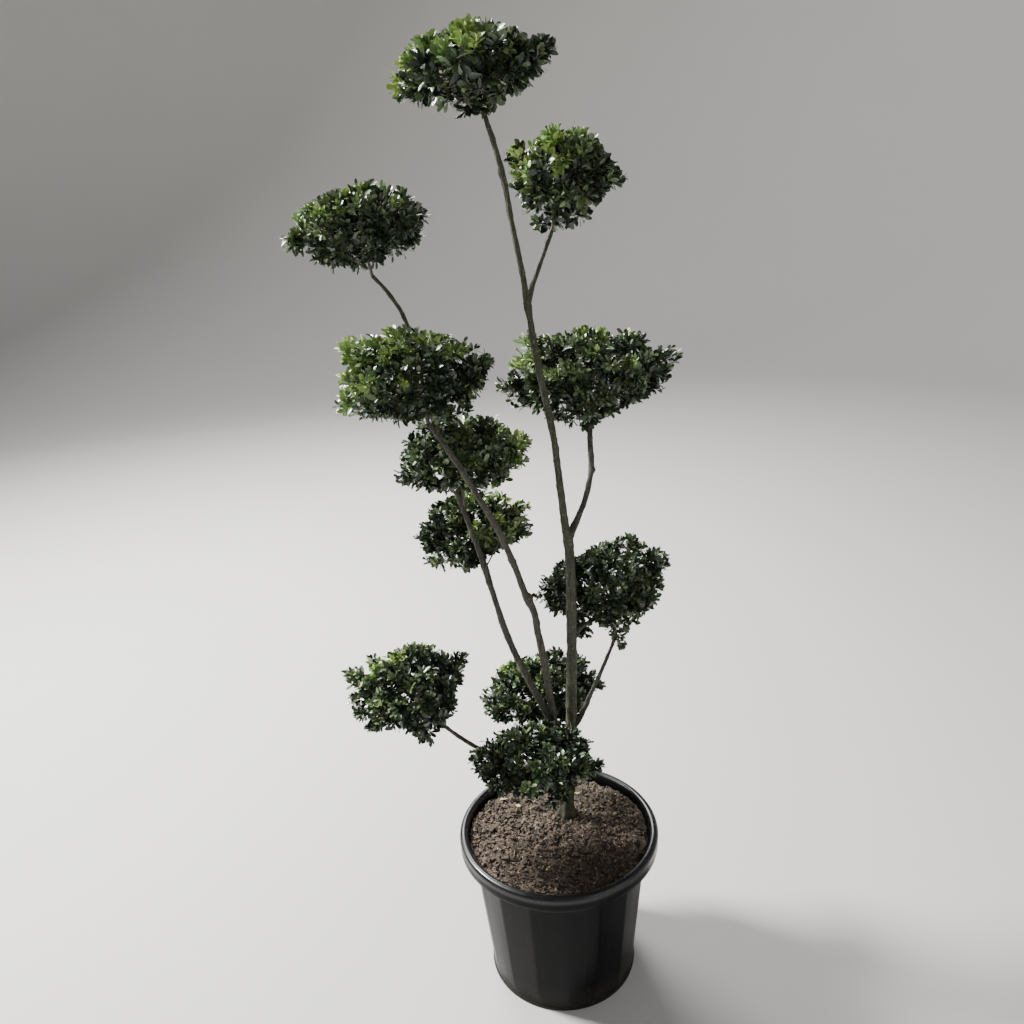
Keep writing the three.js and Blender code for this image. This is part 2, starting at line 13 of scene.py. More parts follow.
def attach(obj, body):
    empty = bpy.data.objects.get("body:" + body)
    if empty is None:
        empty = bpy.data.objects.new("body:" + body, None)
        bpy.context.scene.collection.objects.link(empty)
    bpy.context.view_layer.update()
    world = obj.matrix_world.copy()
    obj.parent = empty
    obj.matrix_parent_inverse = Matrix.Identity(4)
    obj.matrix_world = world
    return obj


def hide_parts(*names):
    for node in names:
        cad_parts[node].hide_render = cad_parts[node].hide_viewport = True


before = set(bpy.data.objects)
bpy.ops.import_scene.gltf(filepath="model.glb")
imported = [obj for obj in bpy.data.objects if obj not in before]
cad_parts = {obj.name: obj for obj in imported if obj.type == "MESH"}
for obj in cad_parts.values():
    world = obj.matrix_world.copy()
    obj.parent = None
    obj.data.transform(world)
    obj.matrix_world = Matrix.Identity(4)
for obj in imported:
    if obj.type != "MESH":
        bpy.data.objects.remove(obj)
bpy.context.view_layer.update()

bl_info = {
    "name": "Clipped shrub in a pot",
    "version": (1, 0, 0),
    "blender": (4, 5, 0),
    "location": "View3D > Sidebar > Shrub",
    "description": "Builds a clipped evergreen with rounded heads on bare stems, in a nursery pot",
    "category": "Add Mesh",
}

MM = 0.001
BODY = "root"
FULL_TURN = 2 * math.pi
GOLDEN_TURN = math.pi * (3 - math.sqrt(5))
LEAF_TURN = 2.4  # radians from one leaf to the next up a shoot, and from one old leaf's ring to the next
UP = np.array([0.0, 0.0, 1.0])

# Sizes of the pot and its compost, in millimetres, as in the solids
POT_HEIGHT = 331
RIM_RADIUS = 198.5
RIM_WIDTH = 17
RIM_SKIRT = 31
SKIRT_THICKNESS = 3
WALL_TOP_RADIUS = 176
WALL_FOOT_RADIUS = 148
WALL_THICKNESS = 3
FOOT_RADIUS = 149.5
FOOT_HEIGHT = 9
DRAIN_HOLES = 8
DRAIN_HOLE_RADIUS = 9
DRAIN_RING_RADIUS = 118
COMPOST_EDGE = 317
SOIL_LEVEL = 323
COMPOST_SHOULDER_RADIUS = 130
COMPOST_FLAT_RADIUS = 95

# The underside and the top of the pot's floor, which stands a little higher inside the foot than in the
# solids, the length of the tools that cut the drain holes, the gap round the compost, and how far out the
# litter on it lies
FLOOR_UNDERSIDE = 5
FLOOR_TOP = 9
DRAIN_CUT_LENGTH = 40
COMPOST_GAP = 0.4
LITTER_RADIUS = 173
FALLEN_LEAF_RADIUS = 160

# How finely the round pieces are cut, and the angle in degrees above which the pot's edges stay sharp
POT_SIDES = 288
COMPOST_SIDES = 200
STAGE_SIDES = 96
SHARP_ANGLE = 38
PANEL_EDGE = 0.12  # share of half a panel over which its edge is rounded

# Loose bark by its colour: the share of the chips, a seed, and the least and most of their lengths, widths
# and thicknesses, in millimetres. The granules' sizes are given in the same way.
CHIPS = {
    "brown": (0.44, 21, ((3, 12), (1.6, 6), (0.8, 2.6))),
    "straw": (0.06, 22, ((3, 15), (0.8, 2.4), (0.6, 1.4))),
    "black": (0.3, 23, ((3, 15), (1.8, 7), (1, 3))),
    "earth": (0.2, 27, ((5, 15), (4, 11), (3, 8))),
}
GRANULES = ((2.6, 6), (2.4, 5), (2.2, 4))

# Limbs, in millimetres: the colour of each one's bark, how far its foot flares, its radius at shares of its
# length, and the points that its middle line runs through. A larger swelling has its place, its height,
# its length and the side that it faces, in degrees round from the left past the front, or None for a ring.
LIMBS = [
    dict(
        name="trunk", bark="olive", flare=8, taper=[(0, 11.5), (0.46, 8.6), (0.5, 6.3), (1, 3.7)],
        route=[
            (20, 45, 323), (31, 36, 440), (35, 31, 556), (39, 24, 694), (41, 17, 823), (40, 12, 935),
            (33, 9, 985), (26, 3, 1061), (20, 0, 1134), (8, -2, 1205), (-4, -4, 1273), (-20, -5, 1402),
            (-35, -4, 1495), (-44, -5, 1558), (-66, -6, 1642),
        ],
        swellings=[
            ((39, 23, 710), 0.9, 5, None), ((40, 12, 940), 1.2, 14, None), ((27, 4, 1050), 1.2, 6, 0),
            ((-16, -5, 1360), 1.4, 9, None), ((-45, -5, 1562), 1.8, 7, 0),
            ((-58, -6, 1612), 1.3, 6, 180),
        ],
    ),
    dict(
        name="stem_middle", bark="grey", flare=2.5, taper=[(0, 6.6), (0.55, 6), (1, 4)],
        route=[
            (30, 36, 445), (8, 22, 530), (-5, 11, 618), (-13, 1, 700), (-22, -7, 764), (-29, -14, 819),
            (-42, -21, 857), (-58, -30, 915), (-74, -38, 965), (-92, -44, 1013), (-120, -51, 1071),
            (-147, -55, 1126), (-186, -42, 1186),
        ],
        swellings=[
            ((-36, -18, 846), 1.8, 12, None), ((-38, -19, 852), 4.6, 6, 170),
            ((-25, -11, 795), 1.2, 6, 180), ((-61, -33, 935), 1.2, 6, 0),
            ((-101, -47, 1032), 1.1, 6, 180),
        ],
    ),
    dict(
        name="stem_left", bark="grey", flare=2, taper=[(0, 6.2), (0.3, 5.6), (0.5, 4.6), (1, 3.1)],
        route=[
            (6, 20, 545), (-11, 17, 578), (-33, 15, 633), (-58, 14, 695), (-79, 17, 754),
            (-98, 21, 830), (-112, 24, 890), (-144, 38, 1003), (-191, 63, 1180), (-219, 69, 1335),
            (-241, 62, 1381), (-266, 58, 1414),
        ],
        swellings=[((-62, 14, 707), 1.3, 6, 0), ((-113, 25, 897), 1.5, 7, None)],
    ),
    dict(
        name="bough_low_right", bark="grey", flare=2.5, taper=[(0, 4.2), (1, 3.2)],
        route=[(34, 32, 532), (51, 31, 558), (73, 40, 604), (98, 51, 652), (129, 70, 716)],
        swellings=[((90, 47, 636), 1.5, 6, 180)],
    ),
    dict(
        name="spur_low_right", bark="grey", flare=1.5, taper=[(0, 3.6), (1, 3)],
        route=[(40, 21, 745), (51, 23, 756), (84, 39, 772)],
    ),
    dict(
        name="bough_right", bark="grey", flare=2.5, taper=[(0, 5.4), (1, 4.5)],
        route=[
            (39, 11, 945), (56, 24, 977), (72, 38, 1009), (86, 56, 1059), (87, 72, 1109),
            (89, 80, 1135),
        ],
        swellings=[((86, 56, 1059), 3.4, 5, 180), ((80, 48, 1036), 0.9, 6, 0)],
    ),
    dict(
        name="bough_upper_right", bark="olive", flare=2, taper=[(0, 3.9), (1, 3.1)],
        route=[(-16, -5, 1362), (-2, 11, 1399), (30, 46, 1470)],
    ),
    dict(
        name="bough_low_left", bark="grey", flare=2, taper=[(0, 4.4), (1, 3.6)],
        route=[(27, 39, 396), (-60, 24, 452), (-153, 10, 520), (-214, 3, 580)],
    ),
    dict(
        name="bough_low_back", bark="grey", flare=2, taper=[(0, 4.4), (1, 3.6)],
        route=[(29, 38, 420), (14, 88, 450), (-6, 120, 490)],
    ),
    dict(
        name="bough_foot", bark="grey", flare=2, taper=[(0, 4.2), (1, 3.4)],
        route=[(25, 41, 372), (-8, -2, 410), (-34, -38, 456)],
    ),
]

# How far up a limb its flare reaches, the ribs round the trunk's flare and their height as a share of its
# radius, how far apart the rings of a mesh stand with how many sides, and the height of the trunk's first
FLARE_LENGTH = 26
FLARE_LOBES = 5
FLARE_LOBE_DEPTH = 0.2
TRUNK_CUT = (3.2, 36)
LIMB_CUT = (2.8, 26)
TRUNK_ROOT = SOIL_LEVEL - 12
NODE_GAPS = (26, 48)  # between the rings where old leaves stood
KNOT_GAP = 170  # length of limb to each healed cut

# Heads, in millimetres: the limb that carries each one, the share of that limb's length where its stem
# starts if that isn't the tip, the middle of its space, how far its leaves reach from there, the size of
# its leaves if it isn't 1, the share of its tufts in new growth, how much light is painted on it (pale
# leaves on its lit side, fewer dark ones there, and more new growth; low for the heads in the shade of
# others), the lit side where it isn't the usual one, and the ends of a second twig that joins it to its
# limb.
# Forms are lobes (above 0) and hollows (below 0) of the space: the way each one lies from the middle, its
# height or depth as a share of the reach, and the angle in degrees over which it fades.
HEADS = [
    dict(
        name="head_top", seed=1, limb="trunk", middle=(-79, -10, 1712), reach=(131, 116, 75),
        leaf_size=1.22, new_growth=0.42, painted_light_and_growth=1,
        forms=[
            ((-1, 0, -0.3), 0.1, 18), ((1, 0, 0.2), 0.13, 13), ((0.1, 0.1, -1), 0.12, 30),
            ((0.8, -0.1, 0.7), -0.2, 28), ((-0.7, -0.1, 0.7), -0.2, 28), ((0.8, 0.1, -0.6), -0.22, 28),
        ],
    ),
    dict(
        name="head_upper_right", seed=2, limb="bough_upper_right", middle=(57, 75, 1550),
        reach=(104, 98, 94), leaf_size=1.18, new_growth=0.42, painted_light_and_growth=1,
        forms=[
            ((-0.9, 0.1, 0.5), 0.08, 22), ((1, -0.1, -0.1), 0.12, 12), ((-0.3, 0, -1), 0.06, 20),
            ((0.8, 0, 0.6), -0.18, 25), ((0.8, -0.1, -0.6), -0.32, 28), ((-0.1, 0, 1), -0.06, 25),
        ],
    ),
    dict(
        name="head_upper_left", seed=3, limb="stem_left", middle=(-280, 55, 1492),
        reach=(125, 108, 80), new_growth=0.32, painted_light_and_growth=1,
        forms=[
            ((-1, -0.2, -0.2), 0.06, 15), ((1, 0.2, 0.2), 0.06, 15), ((-0.6, 0, 0.8), -0.18, 28),
            ((0.7, 0.1, -0.7), -0.08, 20),
        ],
    ),
    dict(
        name="head_left", seed=4, limb="stem_middle", middle=(-208, -15, 1262), reach=(140, 120, 90),
        new_growth=0.7, painted_light_and_growth=1,
        forms=[
            ((-0.87, 0, 0.45), 0.19, 12), ((-0.9, -0.2, -0.4), 0.12, 15), ((0.4, 0.3, -0.9), 0.12, 34),
            ((1, 0.1, 0.1), 0.06, 20), ((0.5, 0.2, 0.8), -0.14, 32),
        ],
    ),
    dict(
        name="head_left_inner", seed=5, limb="stem_left", share=0.53, middle=(-139, 55, 1099),
        reach=(127, 104, 78), new_growth=0.1, painted_light_and_growth=1, light_side=(0.5, -0.2, 0.84),
        forms=[
            ((1, 0.1, 0.2), 0.1, 15), ((0.6, 0, 0.8), 0.12, 16), ((-0.9, -0.2, -0.3), 0.12, 17),
            ((-0.4, -0.3, 0.9), 0.12, 32), ((0, 0.3, -1), 0.1, 32), ((0.8, -0.1, -0.6), -0.1, 20),
        ],
    ),
    dict(
        name="head_left_lower", seed=6, limb="stem_left", share=0.37, middle=(-132, 115, 927),
        reach=(119, 98, 90), new_growth=0.32, painted_light_and_growth=0.9, light_side=(0.65, 0, 0.76),
        side_twig=((-112, 25, 893), (-76, 76, 941)),
        forms=[
            ((0.9, 0.2, 0.4), 0.16, 14), ((-0.8, -0.2, -0.5), 0.1, 17), ((1, 0.1, -0.1), 0.1, 9),
            ((0, -0.3, 1), 0.12, 34), ((0.6, -0.3, -0.8), -0.5, 36),
        ],
    ),
    dict(
        name="head_right", seed=7, limb="bough_right", middle=(92, 105, 1215), reach=(163, 128, 99),
        new_growth=0.3, painted_light_and_growth=0.8,
        forms=[
            ((1, 0, 0.2), 0.14, 11), ((-0.8, 0.2, 0.5), 0.2, 14), ((0, -0.1, -1), 0.1, 20),
            ((-1, 0, -0.1), 0.05, 20), ((0.7, -0.2, -0.7), -0.32, 30), ((-0.5, -0.2, -0.9), -0.06, 16),
        ],
    ),
    dict(
        name="head_lower_right", seed=31, limb="bough_low_right", middle=(113, 105, 808),
        reach=(137, 110, 104), new_growth=0.03, painted_light_and_growth=0.3,
        forms=[
            ((0.9, 0.1, 0.4), 0.1, 17), ((0.5, 0.3, 0.8), 0.08, 14), ((0.2, -0.4, -0.9), 0.38, 9),
            ((-1, 0, -0.1), 0.06, 15), ((-0.5, -0.3, -0.8), 0.1, 12), ((-0.6, 0.4, 0.7), -0.34, 28),
            ((0.8, -0.3, -0.5), -0.1, 26),
        ],
    ),
    dict(
        name="head_low_left", seed=9, limb="bough_low_left", middle=(-269, 0, 658),
        reach=(121, 108, 98), new_growth=0.14, painted_light_and_growth=0.6,
        forms=[
            ((0.87, 0.3, 0.42), 0.26, 10), ((-0.9, 0.1, 0.3), 0.24, 9), ((0.2, 0.2, 1), 0.05, 24),
            ((0.3, -0.5, -0.8), 0.1, 15), ((-0.7, -0.4, -0.5), 0.06, 12),
            ((-0.3, -0.5, -0.8), -0.42, 20), ((1, 0, -0.3), -0.12, 24),
        ],
    ),
    dict(
        name="head_low_back", seed=10, limb="bough_low_back", middle=(-14, 135, 564),
        reach=(133, 104, 90), new_growth=0.06, painted_light_and_growth=0.4,
        forms=[
            ((1, 0, 0), 0.14, 9), ((-0.9, -0.2, -0.3), 0.12, 19), ((-0.4, 0.5, 0.8), -0.14, 28),
            ((0.9, -0.2, -0.3), -0.12, 20),
        ],
    ),
    dict(
        name="head_foot", seed=11, limb="bough_foot", middle=(-40, -50, 523), reach=(129, 98, 82),
        new_growth=0, painted_light_and_growth=0.25,
        forms=[
            ((1, -0.1, -0.1), 0.1, 11), ((0.5, -0.4, -0.8), 0.22, 22), ((-1, 0.1, 0.1), 0.08, 13),
            ((-0.4, -0.5, -0.7), -0.34, 19), ((-0.5, 0.5, 0.7), -0.08, 24),
        ],
    ),
]
HEAD_NODES = [head["name"] for head in HEADS]

# The lumps that every head has: how deep they are as a share of its reach, how close together and how
# broad. Then how far a leaf keeps out of a neighbour's space, the power in the rule for a head's surface,
# and the side toward the light: pale leaves are dealt toward it as painted light, and dark ones away from
# it as painted shade.
LUMPS = 0.1
LUMP_TURNS = 5
LUMP_GAIN = 2.2
NEIGHBOUR_MARGIN = 0.06
EGG_POWER = 1.6
LIGHT_SIDE = (-0.48, 0.1, 0.87)

# Twigs and shoots: how far they reach as shares of the way to the edge of a head's space, their radii at
# foot and tip, how far in a shoot ends, and how far their tips stay off the limbs, in millimetres
INNER_REACH = (0.5, 0.6)
OUTER_REACH = (0.66, 0.76)
INNER_RADII = (2.5, 1.6)
SIDE_RADII = (1.7, 1.1)
OUTER_RADII = (1.6, 1.05)
SHOOT_RADII = (0.95, 0.6)
STEM_TIP_RADIUS = 2.4
INNER_SHOOT_DEPTH = (0.1, 0.34)
DEPTH_UNREST = (-0.03, 0.05)
PROUD_SHOOTS = 0.05  # share of the shoots whose leaves reach the edge
TIP_LEAF = 0.75  # share of a leaf's length that stands past its shoot's tip
TWIG_CLEARANCE = 3
SHOOT_CLEARANCE = 2
LEAF_CLEARANCE = 1.5

# Leaves: the longest in millimetres, the tints from the oldest growth to the newest, with the dark and
# light ones also painted shade and painted light, how wide each blade is at shares of its length, its
# points and triangles, and the most triangles in one piece
LONGEST_LEAF = 22
LEAF_LENGTHS = (0.7, 1.25)  # the range round the length of a grown leaf
LEAF_LEAN = (74, 30)  # degrees from the shoot, at its first leaf and its last
NEW_LEAF_LENGTH = 0.85
NEW_LEAF_LEAN = 0.75
LEAF_TINTS = ("dark", "mature", "light", "new")
DARK, MATURE, LIGHT, NEW = range(4)
BLADE = [(0.0, 0.0), (0.3, 0.56), (0.6, 1.0), (0.86, 0.74), (1.0, 0.0)]
LEAF_POINTS = 11
LEAF_TRIANGLES = 12
MOST_TRIANGLES = 190000

# The shares of shoots with old, pale and new leaves: old dark ones on a head's shaded side and how many
# fewer on its lit side, which paints shade into the leaves' colour, old and grown ones together, pale
# ones in a pale tuft of painted light, new ones in a fresh tuft, old ones deep inside
DARK_IN_PAINTED_SHADE = 0.68
DARK_LOST_IN_PAINTED_LIGHT = 0.4
OLD_OR_GROWN = 0.9
PALE_IN_TUFT = 0.6
NEW_IN_TUFT = 0.75
OLD_INSIDE = 0.7
# Share of the tufts on a head's lit side that turn pale, as painted light
PAINTED_LIGHT_TUFTS = 0.7
FRESH_GAIN = 2.2

# The stage, in metres: the place and width of each light, the point that they face, and the sky
LIGHTS = {
    "key": ((-3.1, 1.1, 3.5), 0.9),
    "fill": ((2.6, -2.4, 2.2), 3.0),
    "back": ((-1.1, 2.9, 3.0), 1.8),
}
LIT_POINT = (-0.05, 0, 0.95)
SKY_COLOUR = (0.86, 0.92, 1.0)
SKY_STRENGTH = 0.25

# The camera's pitch and roll in degrees, its sensor's width, and its focal length as a share of that width
CAMERA_PITCH = 20.99
CAMERA_ROLL = -3.15
SENSOR_WIDTH = 36
FOCAL_SHARE = 910 / 1024


# Settings


def size(name, text, default, **options):
    """A length property in metres."""
    kind = {"subtype": "DISTANCE", "unit": "LENGTH"}
    return FloatProperty(name=name, description=text, default=default, **kind, **options)


def share(name, text, default):
    """A property from 0 to 1."""
    return FloatProperty(name=name, description=text, default=default, min=0, max=1, subtype="FACTOR")


def colour(name, text, default):
    """A linear RGB colour property."""
    kind = {"size": 3, "subtype": "COLOR"}
    return FloatVectorProperty(name=name, description=text, default=default, min=0, max=1, **kind)


def number(name, text, default, least=0):
    """A count."""
    return IntProperty(name=name, description=text, default=default, min=least)


def power(name, text, default):
    """A light's strength in watts."""
    return FloatProperty(name=name, description=text, default=default, unit="POWER")


class PotSettings(bpy.types.PropertyGroup):
    """Sizes and colours of the nursery pot."""

    panels: number("Panels", "Broad flat panels round the wall", 16, 3)
    panel_share: share("Panel flatness", "How far the wall is flattened into its panels", 0.75)
    plastic: colour("Plastic", "Colour of the clean plastic", (0.003, 0.003, 0.0035))
    dust: colour("Dust", "Colour of the dust on it", (0.20, 0.175, 0.135))
    dust_share: share("Dust cover", "How much of the wall the dust veils", 0.012)


class CompostSettings(bpy.types.PropertyGroup):
    """The bark compost and what lies on it."""

    relief: size("Relief", "How far the compost's surface rises and falls", 0.005)
    chips: number("Chips", "Number of loose bark chips", 5200)
    granules: number("Granules", "Number of pale granules", 70)
    fallen_leaves: number("Fallen leaves", "Number of dry leaves", 14)
    earth: colour("Compost", "Colour of the fine compost", (0.064, 0.047, 0.033))
    brown: colour("Brown bark", "Colour of most chips", (0.132, 0.094, 0.065))
    straw: colour("Pale bark", "Colour of the palest chips", (0.31, 0.25, 0.175))
    black: colour("Dark bark", "Colour of the darkest chips", (0.035, 0.025, 0.02))
    granule: colour("Granules", "Colour of the granules", (0.72, 0.66, 0.46))
    dry_leaf: colour("Dry leaf", "Colour of a fallen leaf", (0.40, 0.36, 0.19))


class StemSettings(bpy.types.PropertyGroup):
    """Relief and colours of the bark."""

    relief: size("Relief", "Height of the bark's ridges", 0.0004)
    node_height: size("Nodes", "Height of the rings where old leaves stood", 0.0005)
    knot_height: size("Knots", "Height of the healed cuts", 0.0018)
    olive: colour("Olive bark", "Bark of the trunk", (0.046, 0.049, 0.028))
    grey: colour("Grey bark", "Bark of the other limbs", (0.053, 0.049, 0.037))
    fleck: colour("Flecks", "Pale flecks and lichen on the bark", (0.20, 0.20, 0.155))
    furrow: colour("Furrows", "Bark between the ridges", (0.026, 0.023, 0.016))


class FoliageSettings(bpy.types.PropertyGroup):
    """How the heads grow and the colours of their leaves."""

    boughs: number("Inner twigs", "Twigs that leave a head's stem", 15, 3)
    twigs: number("Outer twigs", "Twigs that leave the inner ones", 70, 3)
    shoot_density: FloatProperty(
        name="Shoots", description="Leafy shoots on 1000 square millimetres of a head", default=4.4, min=0.5
    )
    gathered: share("Tufts", "How far the shoots gather round the outer twigs", 0.38)
    tuft_depth: share("Tuft depth", "How far one tuft stands behind another", 0.13)
    inner_shoots: share("Inner shoots", "Share of the shoots that end inside the head", 0.28)
    lobe_shoots: number("Lobe shoots", "Shoots along a lobe", 8)
    leaves: number("Leaves", "Leaves on a shoot", 9, 3)
    leaf_length: size("Leaf length", "Length of a grown leaf", 0.0175)
    leaf_width: share("Leaf width", "A leaf's width as a share of its length", 0.44)
    leaf_unrest: share("Leaf unrest", "How far the leaves' faces turn from the light", 0.38)
    bare_below: share("Open underside", "Share of the shoots missing under a head", 0.66)
    # The dark tint is old leaves and also painted shade, dealt more on a head's shaded side
    dark: colour("Old leaves", "Colour of the oldest leaves", (0.020, 0.035, 0.017))
    mature: colour("Grown leaves", "Colour of most leaves", (0.050, 0.080, 0.030))
    # The light tint is last year's leaves and also painted light, dealt in pale tufts on a head's lit side
    light: colour("Last year's leaves", "Colour of the lighter leaves", (0.115, 0.170, 0.070))
    new: colour("New leaves", "Colour of the new growth", (0.225, 0.335, 0.10))
    twig: colour("Twigs", "Colour of the woody twigs", (0.115, 0.10, 0.068))
    green_twig: colour("Green shoots", "Colour of the youngest shoots", (0.14, 0.19, 0.06))


class StageSettings(bpy.types.PropertyGroup):
    """Floor, lights and camera."""

    floor: colour("Floor", "Colour of the floor", (0.60, 0.585, 0.56))
    key: power("Key light", "Strength of the main light", 650)
    fill: power("Fill light", "Strength of the side light", 22)
    back: power("Back light", "Strength of the rear one", 170)
    eye_height: size("Camera height", "Height of the camera over the floor", 1.576)
    distance: size("Camera distance", "How far the camera stands in front", 1.47937)
    side: size("Camera side", "How far the camera stands to the right", -0.05831)


SETTINGS = {
    "shrub_pot": PotSettings,
    "shrub_compost": CompostSettings,
    "shrub_stems": StemSettings,
    "shrub_foliage": FoliageSettings,
    "shrub_stage": StageSettings,
}

# Meshes and pieces


def mesh_object(name, points, faces, smooth=True):
    """An object from an array of points and one of triangles or quads."""
    faces = np.asarray(faces)
    mesh = bpy.data.meshes.new(name)
    mesh.vertices.add(len(points))
    mesh.vertices.foreach_set("co", np.asarray(points, float).ravel())
    mesh.loops.add(faces.size)
    mesh.loops.foreach_set("vertex_index", faces.astype(np.int32).ravel())
    mesh.polygons.add(len(faces))
    mesh.polygons.foreach_set("loop_start", np.arange(0, faces.size, faces.shape[1], dtype=np.int32))
    mesh.polygons.foreach_set("use_smooth", np.full(len(faces), smooth))
    mesh.update(calc_edges=True)
    piece = bpy.data.objects.new(name, mesh)
    bpy.context.scene.collection.objects.link(piece)
    return piece


def finish_piece(piece, material, slot, *nodes):
    """Gives a piece its material and its place in the frame."""
    piece.data.materials.clear()
    piece.data.materials.append(material)
    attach(piece, BODY)
    if nodes:
        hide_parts(*nodes)


def add_piece(name, points, faces, material, slot, *nodes, smooth=True):
    """A finished piece from points in millimetres."""
    finish_piece(mesh_object(name, points * MM, faces, smooth), material, slot, *nodes)


def keep_modified(piece):
    """Makes a piece's mesh what its modifiers turn it into."""
    evaluated = piece.evaluated_get(bpy.context.evaluated_depsgraph_get())
    mesh = bpy.data.meshes.new_from_object(evaluated)
    piece.modifiers.clear()
    piece.data = mesh


def joined(parts):
    """One array of points and one of faces from a list of pairs."""
    points, faces, start = [], [], 0
    for p, f in parts:
        points.append(p)
        faces.append(np.asarray(f) + start)
        start += len(p)
    return np.concatenate(points), np.concatenate(faces)


def unit(v):
    """Vectors of length 1 along the last axis."""
    return v / np.maximum(np.linalg.norm(v, axis=-1, keepdims=True), 1e-12)


def swell(points, seed, wavelength, terms=10):
    """Smooth random hills and hollows from -1 to 1 or so over an array of points."""
    rng = np.random.default_rng(seed)
    ways = unit(rng.normal(size=(terms, 3))) * (FULL_TURN / wavelength) * rng.uniform(0.6, 1.5, (terms, 1))
    return np.sin(points @ ways.T + rng.uniform(0, FULL_TURN, terms)).sum(-1) / math.sqrt(terms)


def squared(facing, grow):
    """Directions in which leaves face, made square to the ones in which they grow."""
    return unit(facing - grow * (facing * grow).sum(-1, keepdims=True))


def grid_faces(rows, sides):
    """Quads of a tube of rings."""
    ring = np.arange(sides)
    start = np.arange(rows - 1)[:, None] * sides
    a = start + ring
    b = start + (ring + 1) % sides
    return np.stack([a, b, b + sides, a + sides], -1).reshape(-1, 4)


def closed_tube(rings, ends):
    """Points and triangles of a tube of rings, with a point at each end that closes it."""
    rows, sides = rings.shape[:2]
    quads = grid_faces(rows, sides)
    hoop = np.arange(sides)
    after = (hoop + 1) % sides
    total = rows * sides
    last = total - sides
    lower = np.stack([np.full(sides, total), after, hoop], -1)
    upper = np.stack([np.full(sides, total + 1), last + hoop, last + after], -1)
    faces = np.vstack([quads[:, [0, 1, 2]], quads[:, [0, 2, 3]], lower, upper])
    return np.vstack([rings.reshape(-1, 3), ends]), faces


# Materials


def new_material(name):
    """An empty node material with its shader, and a function that adds a node to it."""
    material = bpy.data.materials.new(name)
    material.use_nodes = True
    tree = material.node_tree
    shader = tree.nodes["Principled BSDF"]

    def add(kind, inputs=None, **settings):
        node = tree.nodes.new(kind)
        for key, value in settings.items():
            setattr(node, key, value)
        for key, value in (inputs or {}).items():
            if isinstance(value, bpy.types.NodeSocket):
                tree.links.new(value, node.inputs[key])
            else:
                node.inputs[key].default_value = value
        return node

    return material, shader, add


def opaque(rgb):
    """A colour with full alpha."""
    return (*rgb, 1.0)


def shade(rgb, factor):
    """A colour made lighter or darker."""
    return tuple(min(1.0, c * factor) for c in rgb)


def object_point(add, scale=(1, 1, 1)):
    """The place on the object, in metres, stretched by a scale."""
    place = add("ShaderNodeTexCoord").outputs["Object"]
    return add("ShaderNodeMapping", {"Vector": place, "Scale": scale}).outputs["Vector"]


def noise(add, place, scale, detail=3, roughness=0.55):
    """A noise value from 0 to 1."""
    inputs = {"Vector": place, "Scale": scale, "Detail": detail, "Roughness": roughness}
    return add("ShaderNodeTexNoise", inputs).outputs["Fac"]


def remap(add, value, low, high, to_low=0.0, to_high=1.0):
    """A value carried from one range to another, kept within it."""
    inputs = {"Value": value, "From Min": low, "From Max": high, "To Min": to_low, "To Max": to_high}
    return add("ShaderNodeMapRange", inputs).outputs["Result"]


def patches(add, place, scale, detail, low=0.3, high=0.7):
    """A noise spread over the whole range from 0 to 1, between the values where most of it lies."""
    return remap(add, noise(add, place, scale, detail), low, high)


def mix(add, factor, first, second):
    """Two colours mixed by a factor."""
    node = add("ShaderNodeMix", data_type="RGBA")
    tree = node.id_data
    for index, value in ((0, factor), (6, first), (7, second)):
        if isinstance(value, bpy.types.NodeSocket):
            tree.links.new(value, node.inputs[index])
        elif index:
            node.inputs[index].default_value = opaque(value)
        else:
            node.inputs[index].default_value = value
    return node.outputs[2]


def bump(add, height, strength, distance, **under):
    """A bumped normal, on top of another one if it is given as Normal."""
    inputs = {"Height": height, "Strength": strength, "Distance": distance, **under}
    return add("ShaderNodeBump", inputs).outputs["Normal"]


def combine(add, operation, first, second):
    """Two values joined by a sum or a product."""
    return add("ShaderNodeMath", {0: first, 1: second}, operation=operation).outputs[0]


def connect(shader, **sockets):
    """Links or sets inputs of the shader, named with underscores for spaces."""
    tree = shader.id_data
    for key, value in sockets.items():
        socket = shader.inputs[key.replace("_", " ")]
        if isinstance(value, bpy.types.NodeSocket):
            tree.links.new(value, socket)
        else:
            socket.default_value = value


@cache
def leaf_material(tint):
    """A glossy leaf in one of the tints, a little uneven from place to place."""
    settings = bpy.context.scene.shrub_foliage
    base = tuple(getattr(settings, tint))
    material, shader, add = new_material("leaf_" + tint)
    place = object_point(add)
    broad = patches(add, place, 28, 2)
    fine = patches(add, place, 260, 2)
    cool = (base[0] * 0.72, base[1] * 0.84, base[2] * 1.1)
    warm = (base[0] * 1.35, base[1] * 1.15, base[2] * 0.9)
    body = mix(add, broad, cool, warm)
    veined = mix(add, remap(add, fine, 0, 1, 0.0, 0.35), body, shade(base, 1.7))
    connect(shader, Base_Color=veined, Roughness=remap(add, fine, 0, 1, 0.2, 0.4), Specular_IOR_Level=0.8)
    connect(shader, Normal=bump(add, fine, 0.25, 0.0006))
    return material


@cache
def twig_material(name):
    """Smooth thin bark with darker and lighter stretches."""
    settings = bpy.context.scene.shrub_foliage
    base = tuple(getattr(settings, name))
    material, shader, add = new_material(name + "_bark")
    place = object_point(add)
    patch = patches(add, place, 90, 3)
    grain = noise(add, place, 900, 2)
    connect(shader, Base_Color=mix(add, patch, shade(base, 0.6), shade(base, 1.35)))
    connect(shader, Roughness=remap(add, grain, 0.3, 0.7, 0.55, 0.8), Normal=bump(add, grain, 0.3, 0.0003))
    return material


